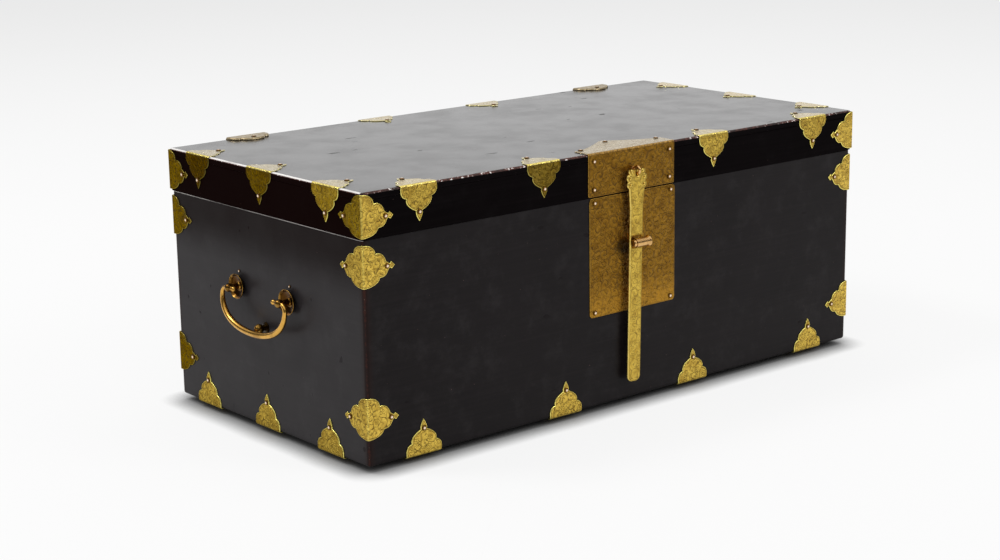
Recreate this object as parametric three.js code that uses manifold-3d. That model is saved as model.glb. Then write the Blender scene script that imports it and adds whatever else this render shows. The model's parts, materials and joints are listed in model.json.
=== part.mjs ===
// A lacquered wooden trunk with engraved brass mounts, a hasp lock and two bail handles.
// Millimetres, +Z up. The front faces -Y and the left end faces -X.
// The origin lies on the floor, under the middle of the trunk's outer box.

import * as THREE from 'three';
import { mergeVertices } from 'three/addons/utils/BufferGeometryUtils.js';
import Module from 'manifold-3d';

// Case and lid
const lidWidth = 860;
const lidDepth = 424;
const caseHeight = 277.5;
const lidHeight = 56.2;
const lidOverhang = 1.5;
const caseBoard = 16;
const bottomBoard = 12;
const lidRail = 14;
const lidTopBoard = 9;
const battenHeight = 8;
const battenWidth = 40;
const battenInset = 40;

// Clearances
const boardJoint = 0.3;
const seamGap = 0.3;
const seat = 0.3;
const holeFit = 0.3;
const cutOverrun = 2;

// Brass sheet and the domed nails that hold it
const sheet = 1;
const nailRadius = 3.5;
const nailHeight = 1.8;

// Edge mounts, folded over the lid's top edge or the case's bottom edge
const edgeMountWidth = 53.5;
const edgeMountDrop = 45;
const edgeNailDrop = 33;
const lidWingReach = 42;
const lidWingNail = 32;
const baseWingReach = 32;
const lidMountFromEnd = 84;
const lidMountFromMiddle = 150;
const lidMountFromCorner = 71;
const baseMountFromEnd = 82.5;
const baseMountFromMiddle = 115;
const baseMountFromCorner = 73.5;
const endBaseMountSetBack = 4.5;

// Corner mounts, folded round the upright edges
const cornerMountHeight = 52;
const cornerMountReach = 45.5;
const cornerNailReach = 33.5;
const cornerNailDrop = 28.6;
const upperMountDrop = 6;
const lowerMountRise = 34;

// Lock plates
const lidPlateWidth = 152;
const lidPlateWing = 62;
const lidPlateNailInset = 9.5;
const lidPlateWingNail = 24;
const lidPlatePeakNail = 50;
const casePlateWidth = 152;
const casePlateHeight = 157;
const casePlateCorner = 5;
const casePlateShift = 3.2;
const casePlateNailInset = 8.5;
const casePlateNailEdge = 6.5;
const plateSeamInset = 0.8;

// Hasp strap, hanging from a ring staple on the lid and leaning a little to the left
const strapWidth = 22;
const strapThickness = 2.5;
const strapReach = 281;
const strapStandoff = 7;
const strapLeanDegrees = 1.2;
const strapHeadWidth = 35;
const strapHeadHeight = 3;
const strapHeadBottom = 24;
const strapNeckWidth = 26.6;
const strapTaperEnd = 48;
const strapEndRadius = 8;
const lobeRadius = 4.9;
const lobeHoleRadius = 1.1;
const ringRadius = 4.7;
const ringWire = 1.8;
const ringShank = 2.2;
const ringDrop = 28.3;
const haspHoleRadius = 2.9;
const bridgeHeight = 2.8;
const bridgeRise = 0.7;
const notchRadius = 3.7;

// Lock staple and the pin that passes through its rolled eye
const lockDrop = 65.5;
const eyeWall = 0.7;
const eyeWidth = 16;
const tongueWidth = 14;
const tongueHeight = 5;
const slotHeight = 14;
const slotSideGap = 0.6;
const pinRadius = 4.9;
const pinTail = 3.5;
const pinChamfer = 1.1;
const pinHead = 8;
const pinShoulder = 5.7;
const pinFlare = 7.5;
const pinRim = 1.6;

// Bail handles
const bailPivotHeight = 176.5;
const postSpacing = 112.5;
const bailSpan = 140;
const bailDrop = 48.3;
const bailEndRadius = 2.5;
const bailGripRadius = 4.3;
const bailBend = 9;
const bailFullnessShare = 0.57;
const bailShoulderShare = 0.74;
const bailRestGap = 0.5;
const finialReach = 10.5;
const finialRadius = 3.6;
const postStandoff = 17;
const postHead = 5.6;
const postNeck = 4.2;
const postShank = 3;
const eyeClearance = 0.4;
const rosetteRadius = 16.4;
const rosetteRim = 7.2;
const rosetteFoot = 7;
const rosetteSheet = 1.2;
const rosetteBellyShares = [0.7, 0.34];
const strikerDrop = 44;
const strikerBall = 6.4;
const strikerStandoff = 10.9;
const strikerFoot = 7;
const strikerFootHeight = 1.6;
const strikerNeck = 4;
const strikerShank = 2.4;
const strikerDepth = 10;

// Hinges
const hingeFromEnd = 119;
const hingeWidth = 60;
const hingeLeafDrop = 58;
const hingeWing = 30;
const hingeSheet = 1.5;
const hingeWingSheet = 2.8;
const knuckleRadius = 4.5;
const knuckleGap = 0.4;
const hingePinRadius = 2.4;
const hingePinProud = 1.5;
const hingeAxisOut = 5.5;
const knuckleClearance = 0.5;
const hingeNailInset = 9;

// Outlines, as shares of half the width and of the reach: each row is the end of one
// cubic curve after its two control points
const edgeLeafShares = [
  [1.06, 0.16, 1, 0.33, 0.7, 0.355],
  [0.8, 0.52, 0.45, 0.64, 0.17, 0.71],
  [0.23, 0.8, 0.1, 0.9, 0, 1],
];
const cornerTopShares = [
  [0.2, 0, 0.36, 0.06, 0.385, 0.23],
  [0.58, 0.19, 0.69, 0.33, 0.715, 0.43],
  [0.76, 0.45, 0.8, 0.49, 0.84, 0.5],
];
const cornerTipShares = [[0.885, 0.46], [1, 0.55], [0.9, 0.64], [0.84, 0.6]];
const cornerBottomShares = [
  [0.76, 0.62, 0.77, 0.82, 0.51, 0.8],
  [0.47, 0.93, 0.25, 1, 0, 1],
];
// The lobes of the strap's head: out to the outermost lobe, and down to the head's bottom
const lobePlaceShares = [[0.77, 0.042], [1, 0.408], [0.95, 0.779]];
const lockWingShares = [[0.8, 0.4, 0.45, 0.62, 0, 1]];
const lockWingSideShare = 0.42;
const hingeWingShares = [
  [0.95, 0.62, 0.72, 0.75, 0.62, 0.62],
  [0.5, 0.98, 0.2, 1, 0, 1],
];
const hingeWingSideShare = 0.3;
const hingeLeafShares = [
  [0.98, 0.92, 0.66, 0.94, 0.56, 0.8],
  [0.45, 0.96, 0.2, 1, 0, 1],
];
const hingeLeafSideShare = 0.68;

// Smoothness
const curveSteps = 4;
const nailSides = 8;
const turnedSides = 16;
const postSides = 12;
const barrelSides = 14;
const lobeSides = 10;
const strapEndSteps = 5;
const holeSides = 6;
const ringSteps = 16;
const ringSides = 8;
const gripSteps = 7;
const bendSteps = 3;
const ballSteps = 4;
const bailSides = 8;

// Sizes worked out from the ones above
const caseWidth = lidWidth - 2 * lidOverhang;
const caseDepth = lidDepth - 2 * lidOverhang;
const seamHeight = battenHeight + caseHeight;
const lidBase = seamHeight + seamGap;
const lidTop = lidBase + lidHeight;
const railHeight = lidHeight - lidTopBoard - boardJoint;
const innerWidth = caseWidth - 2 * (caseBoard + boardJoint);
const endBoardDepth = caseDepth - 2 * (caseBoard + boardJoint);
const endRailDepth = lidDepth - 2 * (lidRail + boardJoint);
const skin = seat + sheet;
const pivotHeight = battenHeight + bailPivotHeight;
const strikerHeight = pivotHeight - strikerDrop;
const ringHeight = lidTop - ringDrop;
const strapPlane = lidDepth / 2 + skin + strapStandoff;
const lockHeight = seamHeight - lockDrop;
const eyePlane = strapPlane + strapThickness / 2 + holeFit + pinShoulder;
const eyeBore = pinRadius + holeFit;
const eyeRadius = eyeBore + eyeWall;
const pinReach = eyePlane + pinFlare;
const strapLean = THREE.MathUtils.degToRad(strapLeanDegrees);
const ringPlace = (ringHeight - lockHeight) * Math.tan(strapLean);
const rosetteFloor = seat + rosetteSheet;
const hingeReach = lidDepth / 2 + hingeAxisOut + knuckleRadius;
const hingeAxisHeight = (seamHeight + lidBase) / 2;
const hingeSkin = seat + hingeSheet;
const middleKnuckle = hingeWidth / 3 - knuckleGap;
const outerKnuckle = (hingeWidth - middleKnuckle) / 2 - knuckleGap;
const knuckleNotch = knuckleRadius + knuckleClearance;
const lidCornerTop = lidTop - (lidHeight - cornerMountHeight) / 2;
const upperCornerTop = seamHeight - upperMountDrop;
const lowerCornerTop = battenHeight + lowerMountRise + cornerMountHeight;
const toCentre = (pinReach - hingeReach) / 2;

const wasm = await Module();
wasm.setup();

const lacquer = { color: 0x1a1210, roughness: 0.32, metalness: 0 };
const bareWood = { color: 0x2a1c14, roughness: 0.6, metalness: 0 };
const brightBrass = { color: 0xb08a3a, roughness: 0.34, metalness: 1 };
const darkBrass = { color: 0x7d5c26, roughness: 0.42, metalness: 1 };
const handleBrass = { color: 0x94703a, roughness: 0.3, metalness: 1 };

// Geometry helpers

// A closed geometry as a solid, ready to be cut or joined
function solid(geometry) {
  const bare = geometry.clone();
  bare.deleteAttribute('normal');
  bare.deleteAttribute('uv');
  const welded = mergeVertices(bare);
  return new wasm.Manifold(new wasm.Mesh({
    numProp: 3,
    vertProperties: new Float32Array(welded.attributes.position.array),
    triVerts: new Uint32Array(welded.index.array),
  }));
}

// A solid back as a geometry
function geometryOf(body) {
  const mesh = body.getMesh();
  const geometry = new THREE.BufferGeometry();
  geometry.setAttribute('position', new THREE.BufferAttribute(mesh.vertProperties, 3));
  geometry.setIndex(new THREE.BufferAttribute(mesh.triVerts, 1));
  geometry.computeVertexNormals();
  return geometry;
}

function joined(...geometries) {
  return geometryOf(geometries.map(solid).reduce((sum, next) => sum.add(next)));
}

function cut(geometry, ...cutters) {
  return geometryOf(cutters.map(solid).reduce((rest, next) => rest.subtract(next), solid(geometry)));
}

function mesh(name, geometry, finish) {
  const piece = new THREE.Mesh(geometry, new THREE.MeshStandardMaterial(finish));
  piece.name = name;
  return piece;
}

function box(x, y, z) {
  return new THREE.BoxGeometry(x, y, z);
}

// A round bar along X, centred
function barX(radius, length, sides) {
  return new THREE.CylinderGeometry(radius, radius, length, sides).rotateZ(Math.PI / 2);
}

// A round bar along Y, centred
function barY(radius, length, sides) {
  return new THREE.CylinderGeometry(radius, radius, length, sides);
}

// A profile of [radius, distance] rows turned round an axis that points out of a face at -Y
function turned(rows, sides) {
  const points = rows.map(([radius, out]) => new THREE.Vector2(radius, out));
  return new THREE.LatheGeometry(points, sides).rotateX(Math.PI);
}

// A flat plate that lies on a face at -Y: the shape's y is height, and the plate is
// lifted off the face by its seat
function plateOn(shape, thickness) {
  const settings = { depth: thickness, bevelEnabled: false, curveSegments: curveSteps };
  return new THREE.ExtrudeGeometry(shape, settings).rotateX(Math.PI / 2).translate(0, -seat, 0);
}

// The plate that lies on a top face: the shape's y runs inwards
function plateOver(shape, thickness) {
  const settings = { depth: thickness, bevelEnabled: false, curveSegments: curveSteps };
  return new THREE.ExtrudeGeometry(shape, settings).translate(0, 0, seat);
}

// A domed nail head on a plate of the given thickness, standing out of a face at -Y
function nailHead(thickness) {
  const foot = seat + thickness / 2;
  const face = seat + thickness;
  return turned([
    [0, foot],
    [nailRadius, foot],
    [nailRadius, face],
    [nailRadius * Math.SQRT1_2, face + nailHeight * Math.SQRT1_2],
    [0, face + nailHeight],
  ], nailSides);
}

function nailOn(x, z, thickness) {
  return nailHead(thickness).translate(x, 0, z);
}

function nailOver(x, y, thickness) {
  return nailHead(thickness).rotateX(-Math.PI / 2).translate(x, y, 0);
}

// Runs a half outline of curve rows out along +x and back along -x, from a base of the
// given half width, with y growing by the reach
function mirroredOutline(rows, halfWidth, reach, start, sideShare) {
  const shape = new THREE.Shape();
  shape.moveTo(-halfWidth, start);
  shape.lineTo(halfWidth, start);
  shape.lineTo(halfWidth, sideShare * reach);
  const ends = [[1, sideShare]];
  const curve = (side, points) => {
    shape.bezierCurveTo(...points.flatMap(([x, y]) => [side * x * halfWidth, y * reach]));
  };
  for (const [ax, ay, bx, by, x, y] of rows) {
    curve(1, [[ax, ay], [bx, by], [x, y]]);
    ends.push([x, y]);
  }
  for (let i = rows.length - 1; i >= 0; i -= 1) {
    const [ax, ay, bx, by] = rows[i];
    curve(-1, [[bx, by], [ax, ay], ends[i]]);
  }
  return shape;
}

// Wood

function caseBoards() {
  const group = new THREE.Group();
  const middle = battenHeight + caseHeight / 2;
  const wallPlace = (caseDepth - caseBoard) / 2;

  const tongueHole = box(tongueWidth + 2 * holeFit, caseBoard + cutOverrun, tongueHeight + 2 * holeFit);
  tongueHole.translate(0, 0, lockHeight - middle);
  const front = mesh('front_board', cut(box(caseWidth, caseBoard, caseHeight), tongueHole), lacquer);
  front.position.set(0, -wallPlace, middle);

  const back = mesh('back_board', box(caseWidth, caseBoard, caseHeight), lacquer);
  back.position.set(0, wallPlace, middle);

  const bottom = mesh('bottom_board', box(innerWidth, endBoardDepth, bottomBoard), bareWood);
  bottom.position.set(0, 0, battenHeight + bottomBoard / 2);
  group.add(front, back, bottom);

  for (const [name, side] of [['left_end_board', -1], ['right_end_board', 1]]) {
    const holes = [-1, 1].map((hand) => {
      const hole = barX(postShank + holeFit, caseBoard + cutOverrun, postSides);
      return hole.translate(0, hand * postSpacing / 2, pivotHeight - middle);
    });
    const blindDepth = strikerDepth + holeFit;
    const blind = barX(strikerShank + holeFit, blindDepth + cutOverrun, postSides);
    const blindPlace = (caseBoard + cutOverrun - blindDepth) / 2;
    blind.translate(side * blindPlace, 0, strikerHeight - middle);
    const board = mesh(name, cut(box(caseBoard, endBoardDepth, caseHeight), ...holes, blind), lacquer);
    board.position.set(side * (caseWidth - caseBoard) / 2, 0, middle);
    group.add(board);
  }

  const battenLength = caseWidth - 2 * battenInset;
  const battenThickness = battenHeight - boardJoint;
  const battenPlace = (caseDepth - battenWidth) / 2 - battenInset;
  for (const [name, side] of [['base_batten_front', -1], ['base_batten_back', 1]]) {
    const batten = mesh(name, box(battenLength, battenWidth, battenThickness), bareWood);
    batten.position.set(0, side * battenPlace, battenThickness / 2);
    group.add(batten);
  }
  return group;
}

function lidBoards() {
  const group = new THREE.Group();
  const middle = lidBase + railHeight / 2;
  const railPlace = (lidDepth - lidRail) / 2;

  const shankHole = barY(ringShank + holeFit, lidRail + cutOverrun, ringSides);
  shankHole.translate(ringPlace, 0, ringHeight - middle);
  const front = mesh('lid_front_rail', cut(box(lidWidth, lidRail, railHeight), shankHole), lacquer);
  front.position.set(0, -railPlace, middle);

  const back = mesh('lid_back_rail', box(lidWidth, lidRail, railHeight), lacquer);
  back.position.set(0, railPlace, middle);

  const top = mesh('lid_top_board', box(lidWidth, lidDepth, lidTopBoard), lacquer);
  top.position.set(0, 0, lidTop - lidTopBoard / 2);
  group.add(front, back, top);

  for (const [name, side] of [['lid_left_rail', -1], ['lid_right_rail', 1]]) {
    const rail = mesh(name, box(lidRail, endRailDepth, railHeight), lacquer);
    rail.position.set(side * (lidWidth - lidRail) / 2, 0, middle);
    group.add(rail);
  }
  return group;
}

// Brass mounts

// A leaf on the face, hanging from an edge at the local origin, and its wing over the edge
function edgeMount(name, wingReach, wingNail) {
  const half = edgeMountWidth / 2;
  const leaf = plateOn(mirroredOutline(edgeLeafShares, half, edgeMountDrop, -skin, 0), sheet);
  leaf.rotateY(Math.PI);
  const wing = plateOver(mirroredOutline(edgeLeafShares, half, wingReach, -skin, 0), sheet);
  const nails = [nailOn(0, -edgeNailDrop, sheet)];
  if (wingNail) {
    nails.push(nailOver(0, wingNail, sheet));
  }
  return mesh(name, joined(leaf, wing, ...nails), brightBrass);
}

// One leaf of a corner mount, from the fold outwards, hanging from its top
function cornerLeafShape() {
  const place = (x, y) => [x * cornerMountReach, -y * cornerMountHeight];
  const shape = new THREE.Shape();
  const curve = (row) => {
    shape.bezierCurveTo(...place(row[0], row[1]), ...place(row[2], row[3]), ...place(row[4], row[5]));
  };
  shape.moveTo(-skin, 0);
  shape.lineTo(0, 0);
  cornerTopShares.forEach(curve);
  cornerTipShares.forEach(([x, y]) => shape.lineTo(...place(x, y)));
  cornerBottomShares.forEach(curve);
  shape.lineTo(-skin, -cornerMountHeight);
  return shape;
}

// A corner mount for the edge between the faces at -Y and -X
function cornerMount(name) {
  const shape = cornerLeafShape();
  const front = plateOn(shape, sheet);
  const settings = { depth: sheet, bevelEnabled: false, curveSegments: curveSteps };
  const end = new THREE.ExtrudeGeometry(shape, settings);
  end.rotateX(Math.PI / 2).rotateZ(Math.PI / 2).translate(-skin, 0, 0);
  const frontNail = nailOn(cornerNailReach, -cornerNailDrop, sheet);
  const endNail = nailHead(sheet).rotateZ(-Math.PI / 2).translate(0, cornerNailReach, -cornerNailDrop);
  return mesh(name, joined(front, end, frontNail, endNail), brightBrass);
}

// One of the four sides, by its quarter turns from the front: its angle, and how far out
// its face lies
function sideOf(turn, width, depth) {
  const across = turn % 2 === 0;
  return { angle: turn * Math.PI / 2, out: (across ? depth : width) / 2 };
}

// Puts a fitting that is made for the front on a side, along from the side's middle
function placeOn(side, along, height, piece) {
  const holder = new THREE.Group();
  holder.rotation.z = side.angle;
  piece.position.set(along, -side.out, height);
  holder.add(piece);
  return holder;
}

function lidEdgeMounts() {
  const group = new THREE.Group();
  const front = sideOf(0, lidWidth, lidDepth);
  const left = sideOf(-1, lidWidth, lidDepth);
  const outer = lidWidth / 2 - lidMountFromEnd;
  const corner = lidDepth / 2 - lidMountFromCorner;
  const places = [
    ['lid_mount_front_1', front, -outer],
    ['lid_mount_front_2', front, -lidMountFromMiddle],
    ['lid_mount_front_3', front, lidMountFromMiddle],
    ['lid_mount_front_4', front, outer],
    ['lid_mount_left_1', left, corner],
    ['lid_mount_left_2', left, 0],
    ['lid_mount_left_3', left, -corner],
  ];
  for (const [name, side, along] of places) {
    group.add(placeOn(side, along, lidTop, edgeMount(name, lidWingReach, lidWingNail)));
  }
  return group;
}

function baseEdgeMounts() {
  const group = new THREE.Group();
  const front = sideOf(0, caseWidth, caseDepth);
  const left = sideOf(-1, caseWidth, caseDepth);
  const outer = caseWidth / 2 - baseMountFromEnd;
  const corner = caseDepth / 2 - baseMountFromCorner;
  const places = [
    ['base_mount_front_1', front, -outer],
    ['base_mount_front_2', front, -baseMountFromMiddle],
    ['base_mount_front_3', front, baseMountFromMiddle],
    ['base_mount_front_4', front, outer],
    ['base_mount_left_1', left, corner - endBaseMountSetBack],
    ['base_mount_left_2', left, -endBaseMountSetBack],
    ['base_mount_left_3', left, -corner - endBaseMountSetBack],
  ];
  for (const [name, side, along] of places) {
    const mount = edgeMount(name, baseWingReach, 0);
    mount.rotation.y = Math.PI;
    group.add(placeOn(side, along, battenHeight, mount));
  }
  return group;
}

// The corner mounts at one height, on the three upright edges with a mount of their own
function cornerMounts(prefix, top, width, depth) {
  const group = new THREE.Group();
  const corners = [
    ['front_left', 0, -1, -1],
    ['front_right', Math.PI / 2, 1, -1],
    ['back_left', -Math.PI / 2, -1, 1],
  ];
  for (const [name, angle, x, y] of corners) {
    const mount = cornerMount(`${prefix}_${name}`);
    mount.rotation.z = angle;
    mount.position.set(x * width / 2, y * depth / 2, top);
    group.add(mount);
  }
  return group;
}

// Lock

function lidLockPlate() {
  const half = lidPlateWidth / 2;
  const drop = lidHeight - plateSeamInset;
  const face = new THREE.Shape();
  face.moveTo(-half, -drop);
  face.lineTo(half, -drop);
  face.lineTo(half, skin);
  face.lineTo(-half, skin);
  const wing = mirroredOutline(lockWingShares, half, lidPlateWing, -skin, lockWingSideShare);
  const nailX = half - lidPlateNailInset;
  const nails = [-nailX, nailX].flatMap((x) => [
    nailOn(x, -lidPlateNailInset, sheet),
    nailOn(x, lidPlateNailInset - drop, sheet),
    nailOver(x, lidPlateWingNail, sheet),
  ]);
  nails.push(nailOver(0, lidPlatePeakNail, sheet));
  const plate = joined(plateOn(face, sheet), plateOver(wing, sheet), ...nails);
  const hole = barY(ringShank + holeFit, 2 * (skin + cutOverrun), ringSides);
  hole.translate(ringPlace, 0, -ringDrop);
  const piece = mesh('lid_lock_plate', cut(plate, hole), darkBrass);
  piece.position.set(0, -lidDepth / 2, lidTop);
  return piece;
}

function caseLockPlate() {
  const half = casePlateWidth / 2;
  const top = -plateSeamInset;
  const bottom = top - casePlateHeight;
  const r = casePlateCorner;
  const face = new THREE.Shape();
  face.moveTo(-half + r, bottom);
  face.absarc(half - r, bottom + r, r, -Math.PI / 2, 0);
  face.absarc(half - r, top - r, r, 0, Math.PI / 2);
  face.absarc(-half + r, top - r, r, Math.PI / 2, Math.PI);
  face.absarc(-half + r, bottom + r, r, Math.PI, Math.PI * 1.5);
  const nailX = half - casePlateNailInset;
  const nails = [-nailX, nailX].flatMap((x) => [
    nailOn(x, top - casePlateNailEdge, sheet),
    nailOn(x, bottom + casePlateNailEdge, sheet),
  ]);
  const plate = joined(plateOn(face, sheet), ...nails).translate(casePlateShift, 0, 0);
  const hole = box(tongueWidth + 2 * holeFit, 2 * (skin + cutOverrun), tongueHeight + 2 * holeFit);
  hole.translate(0, 0, -lockDrop);
  const piece = mesh('case_lock_plate', cut(plate, hole), darkBrass);
  piece.position.set(0, -caseDepth / 2, seamHeight);
  return piece;
}

// The strap, hung from the middle of the ring: its head has three lobes on each side, and
// its slot passes over the eye of the lock staple
function haspStrap() {
  const half = strapWidth / 2;
  const neck = strapNeckWidth / 2;
  const round = strapEndRadius;
  const lobeReach = strapHeadWidth / 2 - lobeRadius;
  const places = lobePlaceShares.map(([x, y]) => [x * lobeReach, -y * strapHeadBottom]);
  const [[crownX], [widestX, widestZ]] = places;
  const outline = new THREE.Shape();
  outline.moveTo(-neck, -strapHeadBottom);
  outline.lineTo(-half, -strapTaperEnd);
  outline.absarc(round - half, round - strapReach, round, Math.PI, 1.5 * Math.PI);
  outline.absarc(half - round, round - strapReach, round, 1.5 * Math.PI, 2 * Math.PI);
  outline.lineTo(half, -strapTaperEnd);
  outline.lineTo(neck, -strapHeadBottom);
  outline.lineTo(widestX, widestZ);
  outline.lineTo(crownX, strapHeadHeight);
  outline.lineTo(-crownX, strapHeadHeight);
  outline.lineTo(-widestX, widestZ);

  const settings = { depth: strapThickness, bevelEnabled: false, curveSegments: strapEndSteps };
  const blade = new THREE.ExtrudeGeometry(outline, settings).rotateX(Math.PI / 2);
  blade.translate(0, strapThickness / 2, 0);
  const pairs = places.flatMap(([x, z]) => [[-x, z], [x, z]]);
  const lobes = pairs.map(([x, z]) => barY(lobeRadius, strapThickness, lobeSides).translate(x, 0, z));
  const deep = strapThickness + cutOverrun;
  const punched = pairs.map(([x, z]) => barY(lobeHoleRadius, deep, holeSides).translate(x, 0, z));

  const holeCentre = bridgeRise - bridgeHeight - haspHoleRadius;
  const hole = barY(haspHoleRadius, deep, lobeSides).translate(0, 0, holeCentre);
  const notch = barY(notchRadius, deep, lobeSides).translate(0, 0, bridgeRise + notchRadius);
  const slot = box(eyeWidth + 2 * slotSideGap, deep, slotHeight);
  slot.translate(0, 0, (lockHeight - ringHeight) / Math.cos(strapLean));

  const strap = cut(joined(blade, ...lobes), ...punched, hole, notch, slot);
  const piece = mesh('hasp_strap', strap, brightBrass);
  piece.rotation.y = strapLean;
  piece.position.set(ringPlace, -strapPlane, ringHeight);
  return piece;
}

// A closed ring that stands out of the lid, with its shank through plate and rail
function haspStaple() {
  const ring = new THREE.TorusGeometry(ringRadius, ringWire, ringSides, ringSteps).rotateY(Math.PI / 2);
  const shankEnd = strapPlane - lidDepth / 2 + lidRail - boardJoint;
  const shankLength = shankEnd - ringRadius;
  const shank = barY(ringShank, shankLength, ringSides).translate(0, ringRadius + shankLength / 2, 0);
  const piece = mesh('hasp_staple', joined(ring, shank), handleBrass);
  piece.position.set(ringPlace, -strapPlane, ringHeight);
  return piece;
}

// A rolled eye on a flat tongue that passes through the strap's slot, the plate and the board
function lockStaple() {
  const tongueEnd = eyePlane - caseDepth / 2 + caseBoard - boardJoint;
  const tongueStart = eyeBore + eyeWall / 2;
  const tongueLength = tongueEnd - tongueStart;
  const tongue = box(tongueWidth, tongueLength, tongueHeight);
  tongue.translate(0, tongueStart + tongueLength / 2, 0);
  const bore = barX(eyeBore, eyeWidth + cutOverrun, barrelSides);
  const eye = joined(barX(eyeRadius, eyeWidth, barrelSides), tongue);
  const piece = mesh('lock_staple', cut(eye, bore), handleBrass);
  piece.position.set(0, -eyePlane, lockHeight);
  return piece;
}

// The removable pin: a plain tail on the left, a shouldered head with a flared rim on the right
function lockPin() {
  const tail = eyeWidth / 2 + pinTail;
  const shoulder = eyeWidth / 2 + holeFit;
  const head = eyeWidth / 2 + pinHead;
  const profile = [
    [0, -tail],
    [pinRadius - pinChamfer, -tail],
    [pinRadius, -tail + pinChamfer],
    [pinRadius, shoulder],
    [pinShoulder, shoulder],
    [pinShoulder, head - 2 * pinRim],
    [pinFlare, head - pinRim],
    [pinFlare, head],
    [0, head],
  ].map(([radius, along]) => new THREE.Vector2(radius, along));
  const pin = new THREE.LatheGeometry(profile, barrelSides).rotateZ(-Math.PI / 2);
  const piece = mesh('lock_pin', joined(pin), handleBrass);
  piece.position.set(0, -eyePlane, lockHeight);
  return piece;
}

// Handles, made for the face at -Y with the pivot axis at the local origin's height

// A bowl of sheet brass whose rim stands off the board
function rosette(name) {
  const hole = postShank + holeFit;
  const [bellyShare, bellyRiseShare] = rosetteBellyShares;
  const belly = rosetteFoot + bellyShare * (rosetteRadius - rosetteFoot);
  const bellyOut = seat + bellyRiseShare * (rosetteRim - rosetteFloor);
  return mesh(name, joined(turned([
    [hole, seat],
    [rosetteFoot, seat],
    [belly, bellyOut],
    [rosetteRadius, rosetteRim - rosetteSheet],
    [rosetteRadius, rosetteRim],
    [belly, bellyOut + rosetteSheet],
    [rosetteFoot, rosetteFloor],
    [hole, rosetteFloor],
    [hole, seat],
  ], turnedSides)), handleBrass);
}

// The rows of a ball that a neck meets, from the neck to the ball's far pole
function ballRows(radius, out, neck, steps) {
  const start = Math.asin(neck / radius);
  const rows = Array.from({ length: steps }, (_, i) => {
    const angle = start + (Math.PI - start) * i / steps;
    return [radius * Math.sin(angle), out - radius * Math.cos(angle)];
  });
  return [...rows, [0, out + radius]];
}

// A post through the board and the rosette, with an eye for the bail in its ball head
function post(name) {
  const tail = boardJoint - caseBoard;
  const shoulder = rosetteFloor + seat;
  const pin = turned([
    [0, tail],
    [postShank, tail],
    [postShank, shoulder],
    [postNeck, shoulder],
    ...ballRows(postHead, postStandoff, postNeck, ballSteps),
  ], postSides);
  const eye = barX(bailEndRadius + eyeClearance, 2 * (postHead + cutOverrun), bailSides);
  return mesh(name, cut(pin, eye.translate(0, -postStandoff, 0)), handleBrass);
}

// The knob behind the bail's grip
function striker(name) {
  const foot = turned([
    [0, -strikerDepth],
    [strikerShank, -strikerDepth],
    [strikerShank, seat],
    [strikerFoot, seat],
    [strikerFoot, seat + strikerFootHeight],
    [strikerNeck, seat + strikerFootHeight],
    [strikerNeck, strikerStandoff],
    [0, strikerStandoff],
  ], postSides);
  const ball = new THREE.SphereGeometry(strikerBall, postSides, ballSteps * 2);
  return mesh(name, joined(foot, ball.translate(0, -strikerStandoff, 0)), handleBrass);
}

// The bail's middle line, from the foot of the grip out and up to the right finial
function bailHalfLine() {
  const side = bailSpan / 2;
  const grip = new THREE.CubicBezierCurve(
    new THREE.Vector2(0, -bailDrop),
    new THREE.Vector2(side * bailFullnessShare, -bailDrop),
    new THREE.Vector2(side, -bailDrop * bailShoulderShare),
    new THREE.Vector2(side, -bailBend),
  );
  const bend = new THREE.EllipseCurve(side - bailBend, -bailBend, bailBend, bailBend, 0, Math.PI / 2);
  const end = new THREE.Vector2(postSpacing / 2 - finialReach, 0);
  return [...grip.getPoints(gripSteps), ...bend.getPoints(bendSteps).slice(1), end];
}

// A bar round a line in the XZ plane, thicker the lower it lies, with flat ends
function bailBar(line) {
  const positions = [];
  const indices = [];
  line.forEach((point, i) => {
    const before = line[Math.max(i - 1, 0)];
    const after = line[Math.min(i + 1, line.length - 1)];
    const across = after.clone().sub(before).normalize();
    const radius = bailEndRadius + (bailGripRadius - bailEndRadius) * (-point.y / bailDrop);
    for (let k = 0; k < bailSides; k += 1) {
      const angle = 2 * Math.PI * k / bailSides;
      const lift = radius * Math.cos(angle);
      positions.push(point.x - across.y * lift, radius * Math.sin(angle), point.y + across.x * lift);
      if (i > 0) {
        const here = i * bailSides;
        const last = here - bailSides;
        const next = (k + 1) % bailSides;
        indices.push(last + k, here + k, here + next, last + k, here + next, last + next);
      }
    }
  });
  const lastRing = (line.length - 1) * bailSides;
  for (let k = 1; k < bailSides - 1; k += 1) {
    indices.push(0, k, k + 1, lastRing, lastRing + k + 1, lastRing + k);
  }
  const geometry = new THREE.BufferGeometry();
  geometry.setAttribute('position', new THREE.Float32BufferAttribute(positions, 3));
  geometry.setIndex(indices);
  return geometry;
}

// How far a bail swings out to rest on its striker's ball; clear of the ball it hangs plumb
function bailRestAngle() {
  const ballAngle = Math.atan2(strikerStandoff - postStandoff, strikerDrop);
  const ballReach = Math.hypot(strikerStandoff - postStandoff, strikerDrop);
  const touch = strikerBall + bailGripRadius + bailRestGap;
  const share = (ballReach ** 2 + bailDrop ** 2 - touch ** 2) / (2 * ballReach * bailDrop);
  return Math.max(ballAngle + Math.acos(Math.min(share, 1)), 0);
}

function bail(name) {
  const right = bailHalfLine();
  const left = right.slice(1).reverse().map((point) => new THREE.Vector2(-point.x, point.y));
  const reach = postSpacing / 2 - finialReach;
  const finials = [-1, 1].map((hand) => {
    const ball = new THREE.SphereGeometry(finialRadius, bailSides, ballSteps + 1);
    return ball.translate(hand * reach, 0, 0);
  });
  const piece = mesh(name, joined(bailBar([...left, ...right]), ...finials), handleBrass);
  piece.rotation.x = -bailRestAngle();
  return piece;
}

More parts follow.
